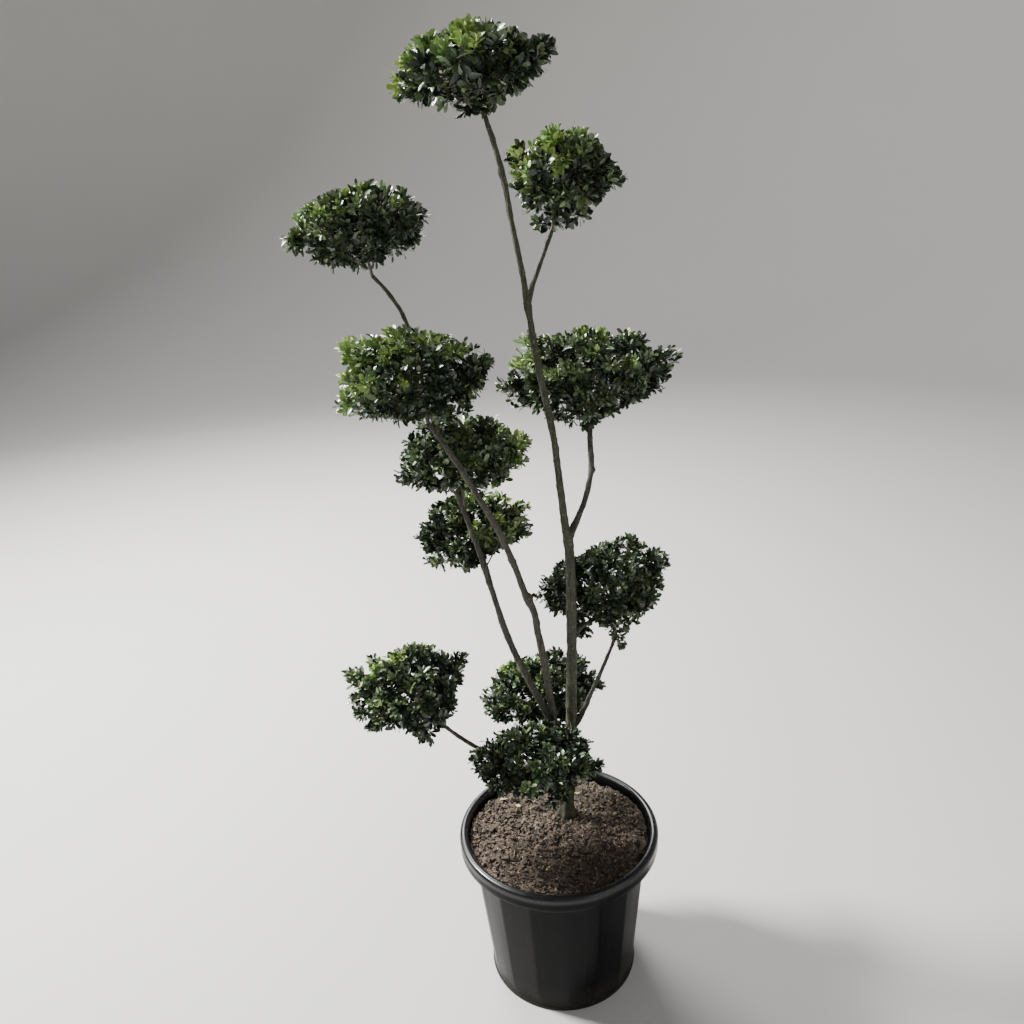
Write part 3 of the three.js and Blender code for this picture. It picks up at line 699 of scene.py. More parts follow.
@cache
def bark_material(kind):
    """Bark with long streaks, pale flecks and dark furrows."""
    settings = bpy.context.scene.shrub_stems
    base = tuple(getattr(settings, kind))
    material, shader, add = new_material("bark_" + kind)
    streak = noise(add, object_point(add, (1, 1, 0.12)), 330, 4, 0.6)
    patch = patches(add, object_point(add), 26, 3, 0.35, 0.65)
    ringed = noise(add, object_point(add, (0.35, 0.35, 1)), 260, 2)
    fleck = patches(add, object_point(add, (1, 1, 0.7)), 420, 1, 0.62, 0.7)
    body = mix(add, patch, shade(base, 0.72), shade(base, 1.25))
    furrowed = mix(add, remap(add, streak, 0.52, 0.36), body, tuple(settings.furrow))
    ribbed = mix(add, remap(add, ringed, 0.6, 0.72, 0.0, 0.4), furrowed, shade(base, 0.5))
    flecked = mix(add, remap(add, fleck, 0, 1, 0.0, 0.65), ribbed, tuple(settings.fleck))
    connect(shader, Base_Color=flecked, Roughness=remap(add, streak, 0.3, 0.7, 0.9, 0.68))
    connect(shader, Normal=bump(add, ringed, 0.3, 0.0008, Normal=bump(add, streak, 0.55, 0.0012)))
    return material


@cache
def plastic_material():
    """Dark moulded plastic, a little dusty and scuffed."""
    settings = bpy.context.scene.shrub_pot
    material, shader, add = new_material("pot_plastic")
    place = object_point(add)
    cloud = noise(add, place, 9, 4)
    speck = noise(add, place, 420, 2)
    scuffs = noise(add, object_point(add, (1, 1, 0.15)), 120, 3)
    drawn = noise(add, object_point(add, (1, 1, 0.08)), 24, 2)
    low = add("ShaderNodeSeparateXYZ", {"Vector": place}).outputs["Z"]
    at_foot = remap(add, low, 0.06, 0.0, 0.0, 0.16)
    veil = remap(add, cloud, 0.35, 0.75, 0.0, settings.dust_share)
    dust = combine(add, "ADD", veil, at_foot)
    grain = combine(add, "MULTIPLY", dust, remap(add, speck, 0.25, 0.7))
    marked = combine(add, "ADD", grain, remap(add, scuffs, 0.66, 0.8, 0.0, 0.05))
    connect(shader, Base_Color=mix(add, marked, tuple(settings.plastic), tuple(settings.dust)))
    # The top of the rim shines, and the wall under it hardly does
    worn = remap(add, low, 0.314, 0.325, 0.07, 0.5)
    connect(shader, Roughness=remap(add, drawn, 0.3, 0.7, 0.22, 0.38), Specular_IOR_Level=worn)
    connect(shader, Normal=bump(add, speck, 0.08, 0.0003))
    return material


@cache
def crumb_material(name):
    """Rough matte crumbs in one colour of the compost settings, mottled."""
    base = tuple(getattr(bpy.context.scene.shrub_compost, name))
    material, shader, add = new_material("compost_" + name)
    place = object_point(add)
    patch = patches(add, place, 70, 3)
    grain = noise(add, place, 650, 4, 0.65)
    body = mix(add, patch, shade(base, 0.62), shade(base, 1.4))
    spotted = mix(add, remap(add, grain, 0.45, 0.65, 0.0, 0.6), body, shade(base, 1.9))
    connect(shader, Base_Color=spotted, Roughness=0.9, Normal=bump(add, grain, 0.7, 0.0015))
    return material


# Limbs


def curve_points(route, steps=60):
    """A centripetal Catmull-Rom curve through a route, and the length along it at each point."""
    p = np.array(route, float)
    p = np.vstack([2 * p[0] - p[1], p, 2 * p[-1] - p[-2]])
    pieces = []
    for k in range(1, len(p) - 2):
        p0, p1, p2, p3 = p[k - 1 : k + 3]
        d0, d1, d2 = (math.sqrt(np.linalg.norm(b - a)) for a, b in ((p0, p1), (p1, p2), (p2, p3)))
        t1 = ((p1 - p0) / d0 - (p2 - p0) / (d0 + d1) + (p2 - p1) / d1) * d1
        t2 = ((p2 - p1) / d1 - (p3 - p1) / (d1 + d2) + (p3 - p2) / d2) * d1
        t = np.linspace(0, 1, steps, endpoint=False)[:, None]
        a = -3 * p1 + 3 * p2 - 2 * t1 - t2
        b = 2 * p1 - 2 * p2 + t1 + t2
        pieces.append(p1 + t1 * t + a * t**2 + b * t**3)
    points = np.vstack([*pieces, p[-2]])
    along = np.concatenate([[0], np.cumsum(np.linalg.norm(np.diff(points, axis=0), axis=1))])
    return points, along


def at_length(points, along, where):
    """Points of a curve at lengths along it."""
    return np.stack([np.interp(where, along, points[:, k]) for k in range(3)], -1)


def limb_radius(limb, where, length):
    """A limb's radius at lengths along it: its taper, with a collar at its foot."""
    shares, radii = zip(*limb["taper"])
    return np.interp(where / length, shares, radii) + limb["flare"] * np.exp(-where / FLARE_LENGTH)


def carried_frames(points):
    """Two directions across a curve at each of its points, carried along it without a twist."""
    tangents = unit(np.gradient(points, axis=0))
    across = unit(np.cross(tangents[0], (0.0, 1.0, 0.0)))
    firsts = []
    for tangent in tangents:
        across = unit(across - tangent * (across @ tangent))
        firsts.append(across)
    firsts = np.array(firsts)
    return tangents, firsts, np.cross(tangents, firsts)


def bark_tube(limb, index, settings):
    """A limb's surface in millimetres: ridges, rings where leaves stood, and a few healed cuts."""
    is_trunk = limb["name"] == "trunk"
    step, sides = TRUNK_CUT if is_trunk else LIMB_CUT
    points, along = curve_points(limb["route"])
    length = along[-1]
    where = np.linspace(0, length, max(12, int(length / step)))
    middle = at_length(points, along, where)
    tangents, first, second = carried_frames(middle)
    turn = np.arange(sides) / sides * FULL_TURN
    radius = np.repeat(limb_radius(limb, where, length)[:, None], sides, 1)
    if is_trunk:
        radius *= 1 + FLARE_LOBE_DEPTH * np.cos(FLARE_LOBES * turn) * np.exp(-where[:, None] / FLARE_LENGTH)
    rng = np.random.default_rng(40 + index)
    round_it = np.stack([np.cos(turn), np.sin(turn)], -1)
    surface = np.concatenate(
        [np.repeat(round_it[None] * 9, len(where), 0), np.repeat(where[:, None, None] * 0.16, sides, 1)], -1
    )
    relief = settings.relief / MM
    radius += relief * (swell(surface, 60 + index, 5) + 0.7 * swell(surface, 90 + index, 2.2))
    radius += relief * 1.2 * swell(surface * (1, 1, 1.5), 120 + index, 26)
    height = settings.node_height / MM
    place, k = rng.uniform(18, 34), 0
    while place < length - 8:
        near = np.exp(-(((where - place) / 2.4) ** 2))[:, None]
        facing = np.exp(-((np.angle(np.exp(1j * (turn - k * LEAF_TURN))) / 0.55) ** 2))
        radius += height * near * (0.45 + 1.5 * facing)
        place, k = place + rng.uniform(*NODE_GAPS), k + 1
    for spot, rise, reach, side in limb.get("swellings", []):
        place = along[np.linalg.norm(points - np.array(spot), axis=1).argmin()]
        toward = 1 if side is None else np.clip(np.cos(turn - math.radians(side)), 0, 1)
        radius += rise * np.exp(-(((where - place) / reach) ** 2))[:, None] * toward
    for place in rng.uniform(0.08, 0.92, max(1, int(length / KNOT_GAP))) * length:
        facing = np.angle(np.exp(1j * (turn - rng.uniform(0, FULL_TURN)))) * radius.mean()
        reach = np.hypot((where - place)[:, None] / 1.25, facing[None])
        knot = np.exp(-((reach / 4.6) ** 2)) - 0.75 * np.exp(-((reach / 1.9) ** 2))
        radius += settings.knot_height / MM * knot
    ring = round_it[None, :, :1] * first[:, None] + round_it[None, :, 1:] * second[:, None]
    tube = middle[:, None] + ring * radius[..., None]
    if is_trunk:
        tube[0, :, 2] = TRUNK_ROOT
    return closed_tube(tube, [middle[0], middle[-1] + tangents[-1] * radius[-1].mean() * 0.4])


@cache
def limb_samples():
    """Points along all the middle lines in millimetres, with the limbs' radii there."""
    places, radii = [], []
    for limb in LIMBS:
        points, along = curve_points(limb["route"])
        where = np.linspace(0, along[-1], int(along[-1] / 5))
        places.append(at_length(points, along, where))
        radii.append(limb_radius(limb, where, along[-1]))
    return np.vstack(places), np.concatenate(radii)


# How the heads grow


def even_directions(count, seed):
    """Directions spread evenly over a ball and turned by the head's own seed."""
    k = np.arange(count)
    height = 1 - (2 * k + 1) / count
    ring = np.sqrt(1 - height**2)
    turn = k * GOLDEN_TURN + seed * 1.7
    return np.stack([ring * np.cos(turn), ring * np.sin(turn), height], 1)


def swell_toward(head, way):
    """How far a head's space swells or shrinks toward directions, by its lumps, lobes and hollows."""
    waves = np.sin(LUMP_TURNS * way + np.array([1, 2, 3]) * head["seed"])
    total = 1 + LUMPS / 2 * (np.clip(LUMP_GAIN * waves.prod(-1), -1, 1) - 1)
    for toward, amount, fade in head["forms"]:
        apart = np.degrees(np.arccos(np.clip(way @ unit(np.array(toward, float)), -1, 1)))
        total = total + amount * np.exp(-((apart / fade) ** 2))
    return total


def level_in(head, points):
    """How far out points lie in a head's space: 0 at its middle, 1 at its edge."""
    offset = points - np.array(head["middle"])
    return np.linalg.norm(offset / np.array(head["reach"]), axis=-1) / swell_toward(head, unit(offset))


def point_in(head, direction, part):
    """Points in a head's space along directions, at a part of the way to its edge."""
    offset = direction * np.array(head["reach"])
    return np.array(head["middle"]) + offset * (part * swell_toward(head, unit(offset)))[..., None]


def belongs_to(head, points):
    """Whether points are in a head's space, and deeper in it than in any neighbour's."""
    own = level_in(head, points)
    inside = own <= 1
    for other in HEADS:
        if other is not head:
            inside &= own < level_in(other, points) - NEIGHBOUR_MARGIN
    return inside


def clear_of_limbs(head, points, margin):
    """Whether points stay off every limb by a margin."""
    places, radii = limb_samples()
    near = level_in(head, places) < 1.3
    if not near.any():
        return np.ones(len(points), bool)
    gap = np.linalg.norm(points[:, None] - places[near][None], axis=2) - radii[near]
    return gap.min(1) > margin


def arc(start, bend, end, t):
    """Points of a simple arc from start to end that leans towards bend."""
    return (1 - t) ** 2 * start + 2 * t * (1 - t) * bend + t**2 * end


def bent(start, end, rise, rng, wander):
    """The bend of an arc that sags a little in the middle, so that its tip turns up."""
    return (start + end) / 2 - UP * rise + rng.normal(size=end.shape) * wander


def chosen(arrays, which):
    """The same rows of several arrays."""
    return [array[which] for array in arrays]


def twig_tubes(start, bend, end, radii, steps, sides=3):
    """Tapering tubes along many arcs at once."""
    count = len(start)
    t = np.linspace(0, 1, steps + 1)[:, None, None]
    path = arc(start, bend, end, t)
    way = unit(end - start)
    aside = np.where(np.abs(way[:, 2:]) < 0.9, UP, np.array([1.0, 0, 0]))
    first = unit(np.cross(way, aside))
    second = np.cross(way, first)
    radius = radii[0] + (radii[1] - radii[0]) * t
    corners = []
    for k in range(sides):
        turn = FULL_TURN * k / sides
        corners.append(path + (first * math.cos(turn) + second * math.sin(turn)) * radius)
    points = np.stack(corners, 2)  # step, twig, side, xyz
    points = points.transpose(1, 0, 2, 3).reshape(-1, 3)
    one = grid_faces(steps + 1, sides)
    block = (steps + 1) * sides
    faces = (np.arange(count) * block)[:, None, None] + one[None]
    return points, faces.reshape(-1, 4)


def head_area(head):
    """Roughly the surface of a head's space, in square millimetres, by a rule for egg shapes."""
    x, y, z = head["reach"]
    mean = ((x * y) ** EGG_POWER + (x * z) ** EGG_POWER + (y * z) ** EGG_POWER) / 3
    return 4 * math.pi * mean ** (1 / EGG_POWER)


def leaf_length(head, settings):
    """The length of a grown leaf on a head, in millimetres."""
    return settings.leaf_length / MM * head.get("leaf_size", 1)


def shoot_directions(head, settings, outer_way, rng):
    """Where a head's shoots point: gathered into tufts round the outer twigs, and along the lobes."""
    count = int(settings.shoot_density * head_area(head) / 1000 / head.get("leaf_size", 1) ** 1.5)
    spread = unit(even_directions(count, head["seed"]) + rng.normal(0, 0.04, (count, 3)))
    tuft = (spread @ outer_way.T).argmax(1)
    ways = [unit(spread * (1 - settings.gathered) + outer_way[tuft] * settings.gathered)]
    for toward, amount, fade in head["forms"]:
        if amount > 0:
            middle = unit(np.array(toward, float) / np.array(head["reach"]))
            ways.append(unit(middle + rng.normal(0, math.radians(fade) * 0.35, (settings.lobe_shoots, 3))))
    ways = np.concatenate(ways)
    return ways, np.arange(len(ways)) >= count


def grow_head(head, settings):
    """One head's twigs and leaves: its stem carries inner twigs, those carry outer ones with the shoots."""
    seed = head["seed"]
    rng = np.random.default_rng(500 + seed)
    heart = np.array(head["middle"], float)
    limb = next(l for l in LIMBS if l["name"] == head["limb"])
    points, along = curve_points(limb["route"])
    starts = head.get("share", 1) * along[-1]
    foot = at_length(points, along, np.array([starts]))[0]
    stem_radius = float(limb_radius(limb, starts, along[-1]))

    stem_bend = (foot + heart) / 2 + np.array([0, 0, 4.0])
    stem_radii = (stem_radius * 0.92, STEM_TIP_RADIUS)
    woody = [twig_tubes(foot[None], stem_bend[None], heart[None], stem_radii, 6, 6)]
    if "side_twig" in head:
        low, high = (np.array(end, float)[None] for end in head["side_twig"])
        woody.append(twig_tubes(low, bent(low, high, 4, rng, 1), high, SIDE_RADII, 6, 6))

    inner_way = even_directions(settings.boughs, seed)
    up_stem = 0.25 + 0.375 * (inner_way[:, 2] + 1) + rng.normal(0, 0.08, len(inner_way))
    leaves_stem = np.clip(up_stem, 0.12, 1)
    inner_from = arc(foot, stem_bend, heart, leaves_stem[:, None])
    inner_to = point_in(head, inner_way, rng.uniform(*INNER_REACH, len(inner_way)))
    inner_twigs = (inner_from, bent(inner_from, inner_to, 5, rng, 5), inner_to)
    woody.append(twig_tubes(*inner_twigs, INNER_RADII, 4, 4))

    outer_way = unit(even_directions(settings.twigs, seed) + rng.normal(0, 0.12, (settings.twigs, 3)))
    parent = (outer_way @ inner_way.T).argmax(1)
    t = rng.uniform(0.35, 1, (len(parent), 1))
    outer_from = arc(*chosen(inner_twigs, parent), t)
    outer_to = point_in(head, outer_way, rng.uniform(*OUTER_REACH, len(outer_way)))
    outer_twigs = (outer_from, bent(outer_from, outer_to, 4, rng, 4), outer_to)
    twig_kept = clear_of_limbs(head, outer_to, TWIG_CLEARANCE)
    woody.append(twig_tubes(*chosen(outer_twigs, twig_kept), OUTER_RADII, 3))

    way, on_lobe = shoot_directions(head, settings, outer_way, rng)
    length = leaf_length(head, settings)
    parent = (way @ outer_way.T).argmax(1)
    from_tuft = np.arccos(np.clip((way * outer_way[parent]).sum(1), -1, 1))
    tuft_depth = rng.uniform(0, settings.tuft_depth, len(outer_way))
    depth = tuft_depth[parent] + 1.1 * from_tuft**2 + rng.uniform(*DEPTH_UNREST, len(way))
    inner = (rng.random(len(way)) < settings.inner_shoots) & ~on_lobe
    depth[inner] += rng.uniform(*INNER_SHOOT_DEPTH, inner.sum())
    depth[(rng.random(len(way)) < PROUD_SHOOTS) | on_lobe] = 0
    below = np.clip((-way[:, 2] - 0.2) / 0.5, 0, 1)
    missing = (rng.random(len(way)) < settings.bare_below * below) & ~on_lobe
    edge = np.linalg.norm(point_in(head, way, np.ones(len(way))) - heart, axis=1)
    shoot_to = point_in(head, way, 1 - depth - TIP_LEAF * length / edge)
    t = rng.uniform(0.45, 1, (len(parent), 1))
    shoot_from = arc(*chosen(outer_twigs, parent), t)
    shoots = (shoot_from, bent(shoot_from, shoot_to, 3.5, rng, 2.5), shoot_to)
    kept = twig_kept[parent] & ~missing & belongs_to(head, shoot_to)
    for along_shoot in (shoot_to, arc(*shoots, 0.6)):
        kept &= clear_of_limbs(head, along_shoot, SHOOT_CLEARANCE)
    shoots, (inner, parent) = chosen(shoots, kept), chosen((inner, parent), kept)
    tint = deal_tints(head, outer_way, parent, inner, rng)
    woody.append(twig_tubes(*chosen(shoots, tint != NEW), SHOOT_RADII, 2))
    green = twig_tubes(*chosen(shoots, tint == NEW), SHOOT_RADII, 2)
    return woody, green, leaves_on_shoots(head, settings, shoots, tint, inner, rng)


def deal_tints(head, outer_way, parent, inner, rng):
    """The tint of each shoot: new growth comes by the tuft, on the outside and toward the light."""
    light_side = np.array(head.get("light_side", LIGHT_SIDE))
    # Light and shade are painted into the tints: pale tufts and fewer dark leaves on the lit side, more
    # dark leaves on the shaded side
    sunny = head["painted_light_and_growth"] * np.clip((outer_way @ light_side + 0.25) / 0.95, 0, 1)
    fresh_tuft = rng.random(len(outer_way)) < head["new_growth"] * sunny * FRESH_GAIN
    painted_light_tuft = rng.random(len(outer_way)) < PAINTED_LIGHT_TUFTS * sunny
    roll = rng.random(len(parent))
    painted_shade_share = DARK_IN_PAINTED_SHADE - DARK_LOST_IN_PAINTED_LIGHT * sunny[parent]
    tint = np.where(roll < painted_shade_share, DARK, np.where(roll < OLD_OR_GROWN, MATURE, LIGHT))
    tint[~inner & painted_light_tuft[parent] & (rng.random(len(parent)) < PALE_IN_TUFT)] = LIGHT
    tint[~inner & fresh_tuft[parent] & (rng.random(len(parent)) < NEW_IN_TUFT)] = NEW
    tint[inner] = np.where(rng.random(inner.sum()) < OLD_INSIDE, DARK, MATURE)
    return tint


def leaves_on_shoots(head, settings, shoots, tint, inner, rng):
    """The roots, directions, lengths and tints of the leaves, in a spiral that closes to a rosette."""
    shoot_from, shoot_bend, shoot_to = (ends[:, None] for ends in shoots)
    n, count = settings.leaves, len(tint)
    rank = np.arange(n) / (n - 1)
    t = (0.3 + 0.7 * rank**0.7)[None, :, None]
    root = arc(shoot_from, shoot_bend, shoot_to, t)
    axis = unit((1 - t) * (shoot_bend - shoot_from) + t * (shoot_to - shoot_bend))
    aside = unit(np.cross(axis, np.array([0.31, 0.12, 0.94])))
    other = np.cross(axis, aside)
    turn = np.arange(n) * LEAF_TURN + rng.uniform(0, 6.28, (count, 1)) + rng.normal(0, 0.25, (count, n))
    low_lean, top_lean = LEAF_LEAN
    lean = np.radians(low_lean - (low_lean - top_lean) * rank)[None] + rng.normal(0, 0.25, (count, n))
    lean[tint == NEW] *= NEW_LEAF_LEAN
    side = aside * np.cos(turn)[..., None] + other * np.sin(turn)[..., None]
    grow = unit(axis * np.cos(lean)[..., None] + side * np.sin(lean)[..., None] + UP * 0.12)
    facing = squared(axis * 0.7 + UP * 0.45 + rng.normal(0, settings.leaf_unrest, (count, n, 3)), grow)
    grown = leaf_length(head, settings)
    long = np.minimum(grown * rng.uniform(*LEAF_LENGTHS, (count, n)) * (1 - 0.18 * rank), LONGEST_LEAF)
    long[tint == NEW] *= NEW_LEAF_LENGTH
    tip = (root + grow * long[..., None]).reshape(-1, 3)
    middle = (root + grow * long[..., None] * 0.5).reshape(-1, 3)
    fine = belongs_to(head, tip)
    for along_leaf in (tip, middle):
        fine &= clear_of_limbs(head, along_leaf, LEAF_CLEARANCE)
    leaf_tint = np.repeat(tint[:, None], n, 1)
    lighter = (rank[None] > 0.75) & (leaf_tint < LIGHT) & ~inner[:, None] & (rng.random((count, n)) < 0.35)
    leaf_tint[lighter] += 1
    values = {"root": root, "grow": grow, "facing": facing, "long": long, "tint": leaf_tint}
    return {key: value.reshape(-1, *value.shape[2:])[fine] for key, value in values.items()}


@cache
def grown_heads():
    """The twigs and leaves of all the heads, in millimetres."""
    settings = bpy.context.scene.shrub_foliage
    return [grow_head(head, settings) for head in HEADS]


def leaf_blades(foliage, width_share, seed):
    """Folded oval blades of twelve triangles each, from arrays of roots and directions."""
    rng = np.random.default_rng(seed)
    count = len(foliage["root"])
    grow, facing = foliage["grow"], foliage["facing"]
    across = np.cross(grow, facing)
    long = foliage["long"]
    half = long * width_share / 2 * rng.uniform(0.85, 1.15, count)
    fold = np.tan(np.radians(rng.uniform(6, 24, count)))
    droop = rng.uniform(0.0, 0.22, count)
    points = []
    for where, wide in BLADE:
        line = foliage["root"] + grow * (where * long)[:, None]
        line = line - facing * (droop * where**2 * long)[:, None]
        if wide == 0:
            points.append(line)
            continue
        lift = facing * (fold * half * wide)[:, None]
        reach = across * (half * wide)[:, None]
        points += [line - reach + lift, line, line + reach + lift]
    points = np.stack(points, 1).reshape(-1, 3)
    triangles = [(0, 3, 2), (0, 2, 1)]
    for k in (1, 4):
        triangles += [(k, k + 1, k + 4), (k, k + 4, k + 3), (k + 1, k + 2, k + 5), (k + 1, k + 5, k + 4)]
    triangles += [(7, 8, 10), (8, 9, 10)]
    faces = (np.arange(count) * LEAF_POINTS)[:, None, None] + np.array(triangles)[None]
    return points, faces.reshape(-1, 3)


# Pot and compost


def wall_radius(height):
    """Outer radius of the pot's wall at a height."""
    share_up = (height - FOOT_HEIGHT) / (POT_HEIGHT - RIM_SKIRT - FOOT_HEIGHT)
    return WALL_FOOT_RADIUS + (WALL_TOP_RADIUS - WALL_FOOT_RADIUS) * share_up


def inside_radius(height):
    """Radius of the pot's inside at a height, up to the middle of the bead."""
    wall_top, lip = POT_HEIGHT - RIM_SKIRT, POT_HEIGHT - RIM_WIDTH / 2
    if height <= wall_top:
        return wall_radius(height) - WALL_THICKNESS
    up = (height - wall_top) / (lip - wall_top)
    return (WALL_TOP_RADIUS - WALL_THICKNESS) * (1 - up) + (RIM_RADIUS - RIM_WIDTH) * up


def rounded_arc(centre, radius, start, stop, count):
    """Radius and height pairs round an arc, with the angles in degrees."""
    turn = np.radians(np.linspace(start, stop, count))
    return [(centre[0] + radius * math.cos(a), centre[1] + radius * math.sin(a)) for a in turn]


def pot_outline():
    """The pot's closed outline, with the share of the panels that shows at each point."""
    skirt_foot = POT_HEIGHT - RIM_SKIRT
    bead = RIM_WIDTH / 2
    roof = POT_HEIGHT - bead
    inner_edge = RIM_RADIUS - RIM_WIDTH
    plain = [
        (0, FLOOR_UNDERSIDE + 0.5), (60, FLOOR_UNDERSIDE), (134, FLOOR_UNDERSIDE),
        (138, 4), (140, 0.6), (141.5, 0), (FOOT_RADIUS - 2.5, 0),
        *rounded_arc((FOOT_RADIUS - 2, 2), 2, -80, 0, 4),
        (FOOT_RADIUS, FOOT_HEIGHT - 2),
        *rounded_arc((FOOT_RADIUS - 1.2, FOOT_HEIGHT - 1.6), 1.2, 10, 80, 3),
    ]
    outline = [(r, z, 0.0) for r, z in plain]
    heights = np.concatenate([[FOOT_HEIGHT + 0.6, 13, 18], np.linspace(26, 268, 14), [276, 283, 289, 295]])
    for z in heights:
        in_panel = min(1.0, max(0.0, (z - 10) / 12), max(0.0, (290 - z) / 16))
        outline.append((wall_radius(z), z, in_panel * in_panel * (3 - 2 * in_panel)))
    tail = [
        (wall_radius(skirt_foot) + 0.4, skirt_foot),
        (inner_edge + WALL_THICKNESS - 1, roof - 5),
        (inner_edge + WALL_THICKNESS + 1.5, roof - 2),
        (RIM_RADIUS - SKIRT_THICKNESS - 1, roof - 2),
        (RIM_RADIUS - SKIRT_THICKNESS, roof - 4),
        (RIM_RADIUS - SKIRT_THICKNESS - 0.6, skirt_foot + 1),
        *rounded_arc((RIM_RADIUS - 2.2, skirt_foot + 1.3), 1.3, 200, 350, 5),
        (RIM_RADIUS - 0.9, skirt_foot + 8),
        (RIM_RADIUS - 0.5, roof - 6),
        *rounded_arc((RIM_RADIUS - bead, roof), bead, -8, 188, 18),
        *((inside_radius(z), z) for z in (skirt_foot, 160, 14)),
        (inside_radius(FLOOR_TOP) - 3, FLOOR_TOP),
        (0, FLOOR_TOP),
    ]
    return np.array(outline + [(r, z, 0.0) for r, z in tail])


def turned(outline, sides, shape=None):
    """Points and triangles of an outline of radius and height, turned round the axis between its ends."""
    turn = np.arange(sides) / sides * FULL_TURN
    radius = np.repeat(outline[1:-1, :1], sides, 1)
    if shape is not None:
        radius = shape(radius, turn, outline[1:-1])
    height = np.repeat(outline[1:-1, 1:2], sides, 1)
    rings = np.stack([radius * np.cos(turn), radius * np.sin(turn), height], -1)
    return closed_tube(rings, [(0, 0, outline[0, 1]), (0, 0, outline[-1, 1])])


def compost_height(x, y, relief):
    """The compost's surface in millimetres: a low mound, flat round the trunk, with crumbs and hollows."""
    r = np.hypot(x, y)
    steps = [0, COMPOST_FLAT_RADIUS, COMPOST_SHOULDER_RADIUS, inside_radius(COMPOST_EDGE)]
    mound = np.interp(r, steps, [SOIL_LEVEL, SOIL_LEVEL, SOIL_LEVEL - 3, COMPOST_EDGE])
    place = np.stack([x, y, np.zeros_like(x)], -1)
    rough = 0.5 * swell(place, 11, 60) + 0.5 * swell(place, 12, 18) + 0.4 * swell(place, 13, 7)
    return mound - relief + relief * rough


def strewn(rng, count, reach):
    """Random places all over a round bed."""
    radius = reach * np.sqrt(rng.random(count))
    turn = rng.uniform(0, FULL_TURN, count)
    return radius * np.cos(turn), radius * np.sin(turn)


def flakes(count, seed, sizes, settings, lift=0.6, tilt=0.35):
    """Loose chips of six sides strewn over the compost, in millimetres."""
    rng = np.random.default_rng(seed)
    x, y = strewn(rng, count, LITTER_RADIUS)
    z = compost_height(x, y, settings.relief / MM) + lift + rng.uniform(-0.8, 1.2, count)
    long, wide, thick = (rng.uniform(low, high, count) for low, high in sizes)
    grow = unit(np.stack([rng.normal(size=count), rng.normal(size=count), rng.normal(0, tilt, count)], -1))
    across = unit(np.cross(grow, UP + rng.normal(0, tilt, (count, 3))))
    facing = np.cross(across, grow)
    corners = []
    for a, b, c in [(a, b, c) for c in (-1, 1) for a, b in ((-1, -1), (1, -1), (1, 1), (-1, 1))]:
        pinch = rng.uniform(0.45, 1.0, (count, 3))
        offset = grow * (a * long * pinch[:, 0])[:, None] + across * (b * wide * pinch[:, 1])[:, None]
        offset = offset + facing * (c * thick * pinch[:, 2])[:, None]
        corners.append(np.stack([x, y, z], -1) + 0.5 * offset)
    points = np.stack(corners, 1).reshape(-1, 3)
    sides = [(k, (k + 1) % 4, (k + 1) % 4 + 4, k + 4) for k in range(4)]
    quads = np.array([(0, 3, 2, 1), (4, 5, 6, 7), *sides])
    return points, ((np.arange(count) * 8)[:, None, None] + quads[None]).reshape(-1, 4)


# Operators


class SHRUB_OT_pot(bpy.types.Operator):
    """Build the nursery pot with its rim, panels and drain holes"""

    bl_idname = "shrub.pot"
    bl_label = "Nursery pot"

    def execute(self, context):
        settings = context.scene.shrub_pot
        count = settings.panels

        def panelled(radius, turn, outline):
            within = (turn % (FULL_TURN / count)) - math.pi / count
            flat = math.cos(math.pi / count) / np.cos(within)
            edge = 1 - np.abs(within) / (math.pi / count)
            soft = np.clip(edge / PANEL_EDGE, 0, 1)
            shape = 1 - (1 - flat) * soft - (1 - flat.max()) * (1 - soft)
            return radius * (1 - (1 - shape) * settings.panel_share * outline[:, 2:3])

        points, faces = turned(pot_outline(), POT_SIDES, panelled)
        pot = mesh_object("nursery_pot", points * MM, faces)
        cutters = []
        for k in range(DRAIN_HOLES):
            turn = k / DRAIN_HOLES * FULL_TURN
            ring = DRAIN_RING_RADIUS * MM
            bpy.ops.mesh.primitive_cylinder_add(
                vertices=32,
                radius=DRAIN_HOLE_RADIUS * MM,
                depth=DRAIN_CUT_LENGTH * MM,
                location=(ring * math.cos(turn), ring * math.sin(turn), FLOOR_UNDERSIDE * MM),
            )
            cutters.append(context.object)
        for cutter in cutters:
            cut = pot.modifiers.new("drain_hole", "BOOLEAN")
            cut.operation = "DIFFERENCE"
            cut.solver = "EXACT"
            cut.object = cutter
        keep_modified(pot)
        for cutter in cutters:
            bpy.data.objects.remove(cutter)
        pot.data.name = "nursery_pot"
        pot.data.shade_smooth()
        pot.data.set_sharp_from_angle(angle=math.radians(SHARP_ANGLE))
        finish_piece(pot, plastic_material(), "pot", "pot")
        return {"FINISHED"}


class SHRUB_OT_compost(bpy.types.Operator):
    """Build the compost that fills the pot"""

    bl_idname = "shrub.compost"
    bl_label = "Compost"

    def execute(self, context):
        settings = context.scene.shrub_compost
        foot = FLOOR_TOP + COMPOST_GAP
        side = [(0, foot), (inside_radius(14) - 4, foot)]
        side += [(inside_radius(z) - COMPOST_GAP, z) for z in (14, 150, 300, 308)]
        top = [(r, 0) for r in np.linspace(inside_radius(COMPOST_EDGE) - 0.5, 3, 64)] + [(0, 0)]
        points, faces = turned(np.array(side + top), COMPOST_SIDES)
        on_top = np.zeros(len(points), bool)
        on_top[(len(side) - 1) * COMPOST_SIDES : -2] = True  # the outline starts at the middle of the floor
        on_top[-1] = True
        points[on_top, 2] = compost_height(points[on_top, 0], points[on_top, 1], settings.relief / MM)
        add_piece("compost_bed", points, faces, crumb_material("earth"), "compost", "compost")
        return {"FINISHED"}


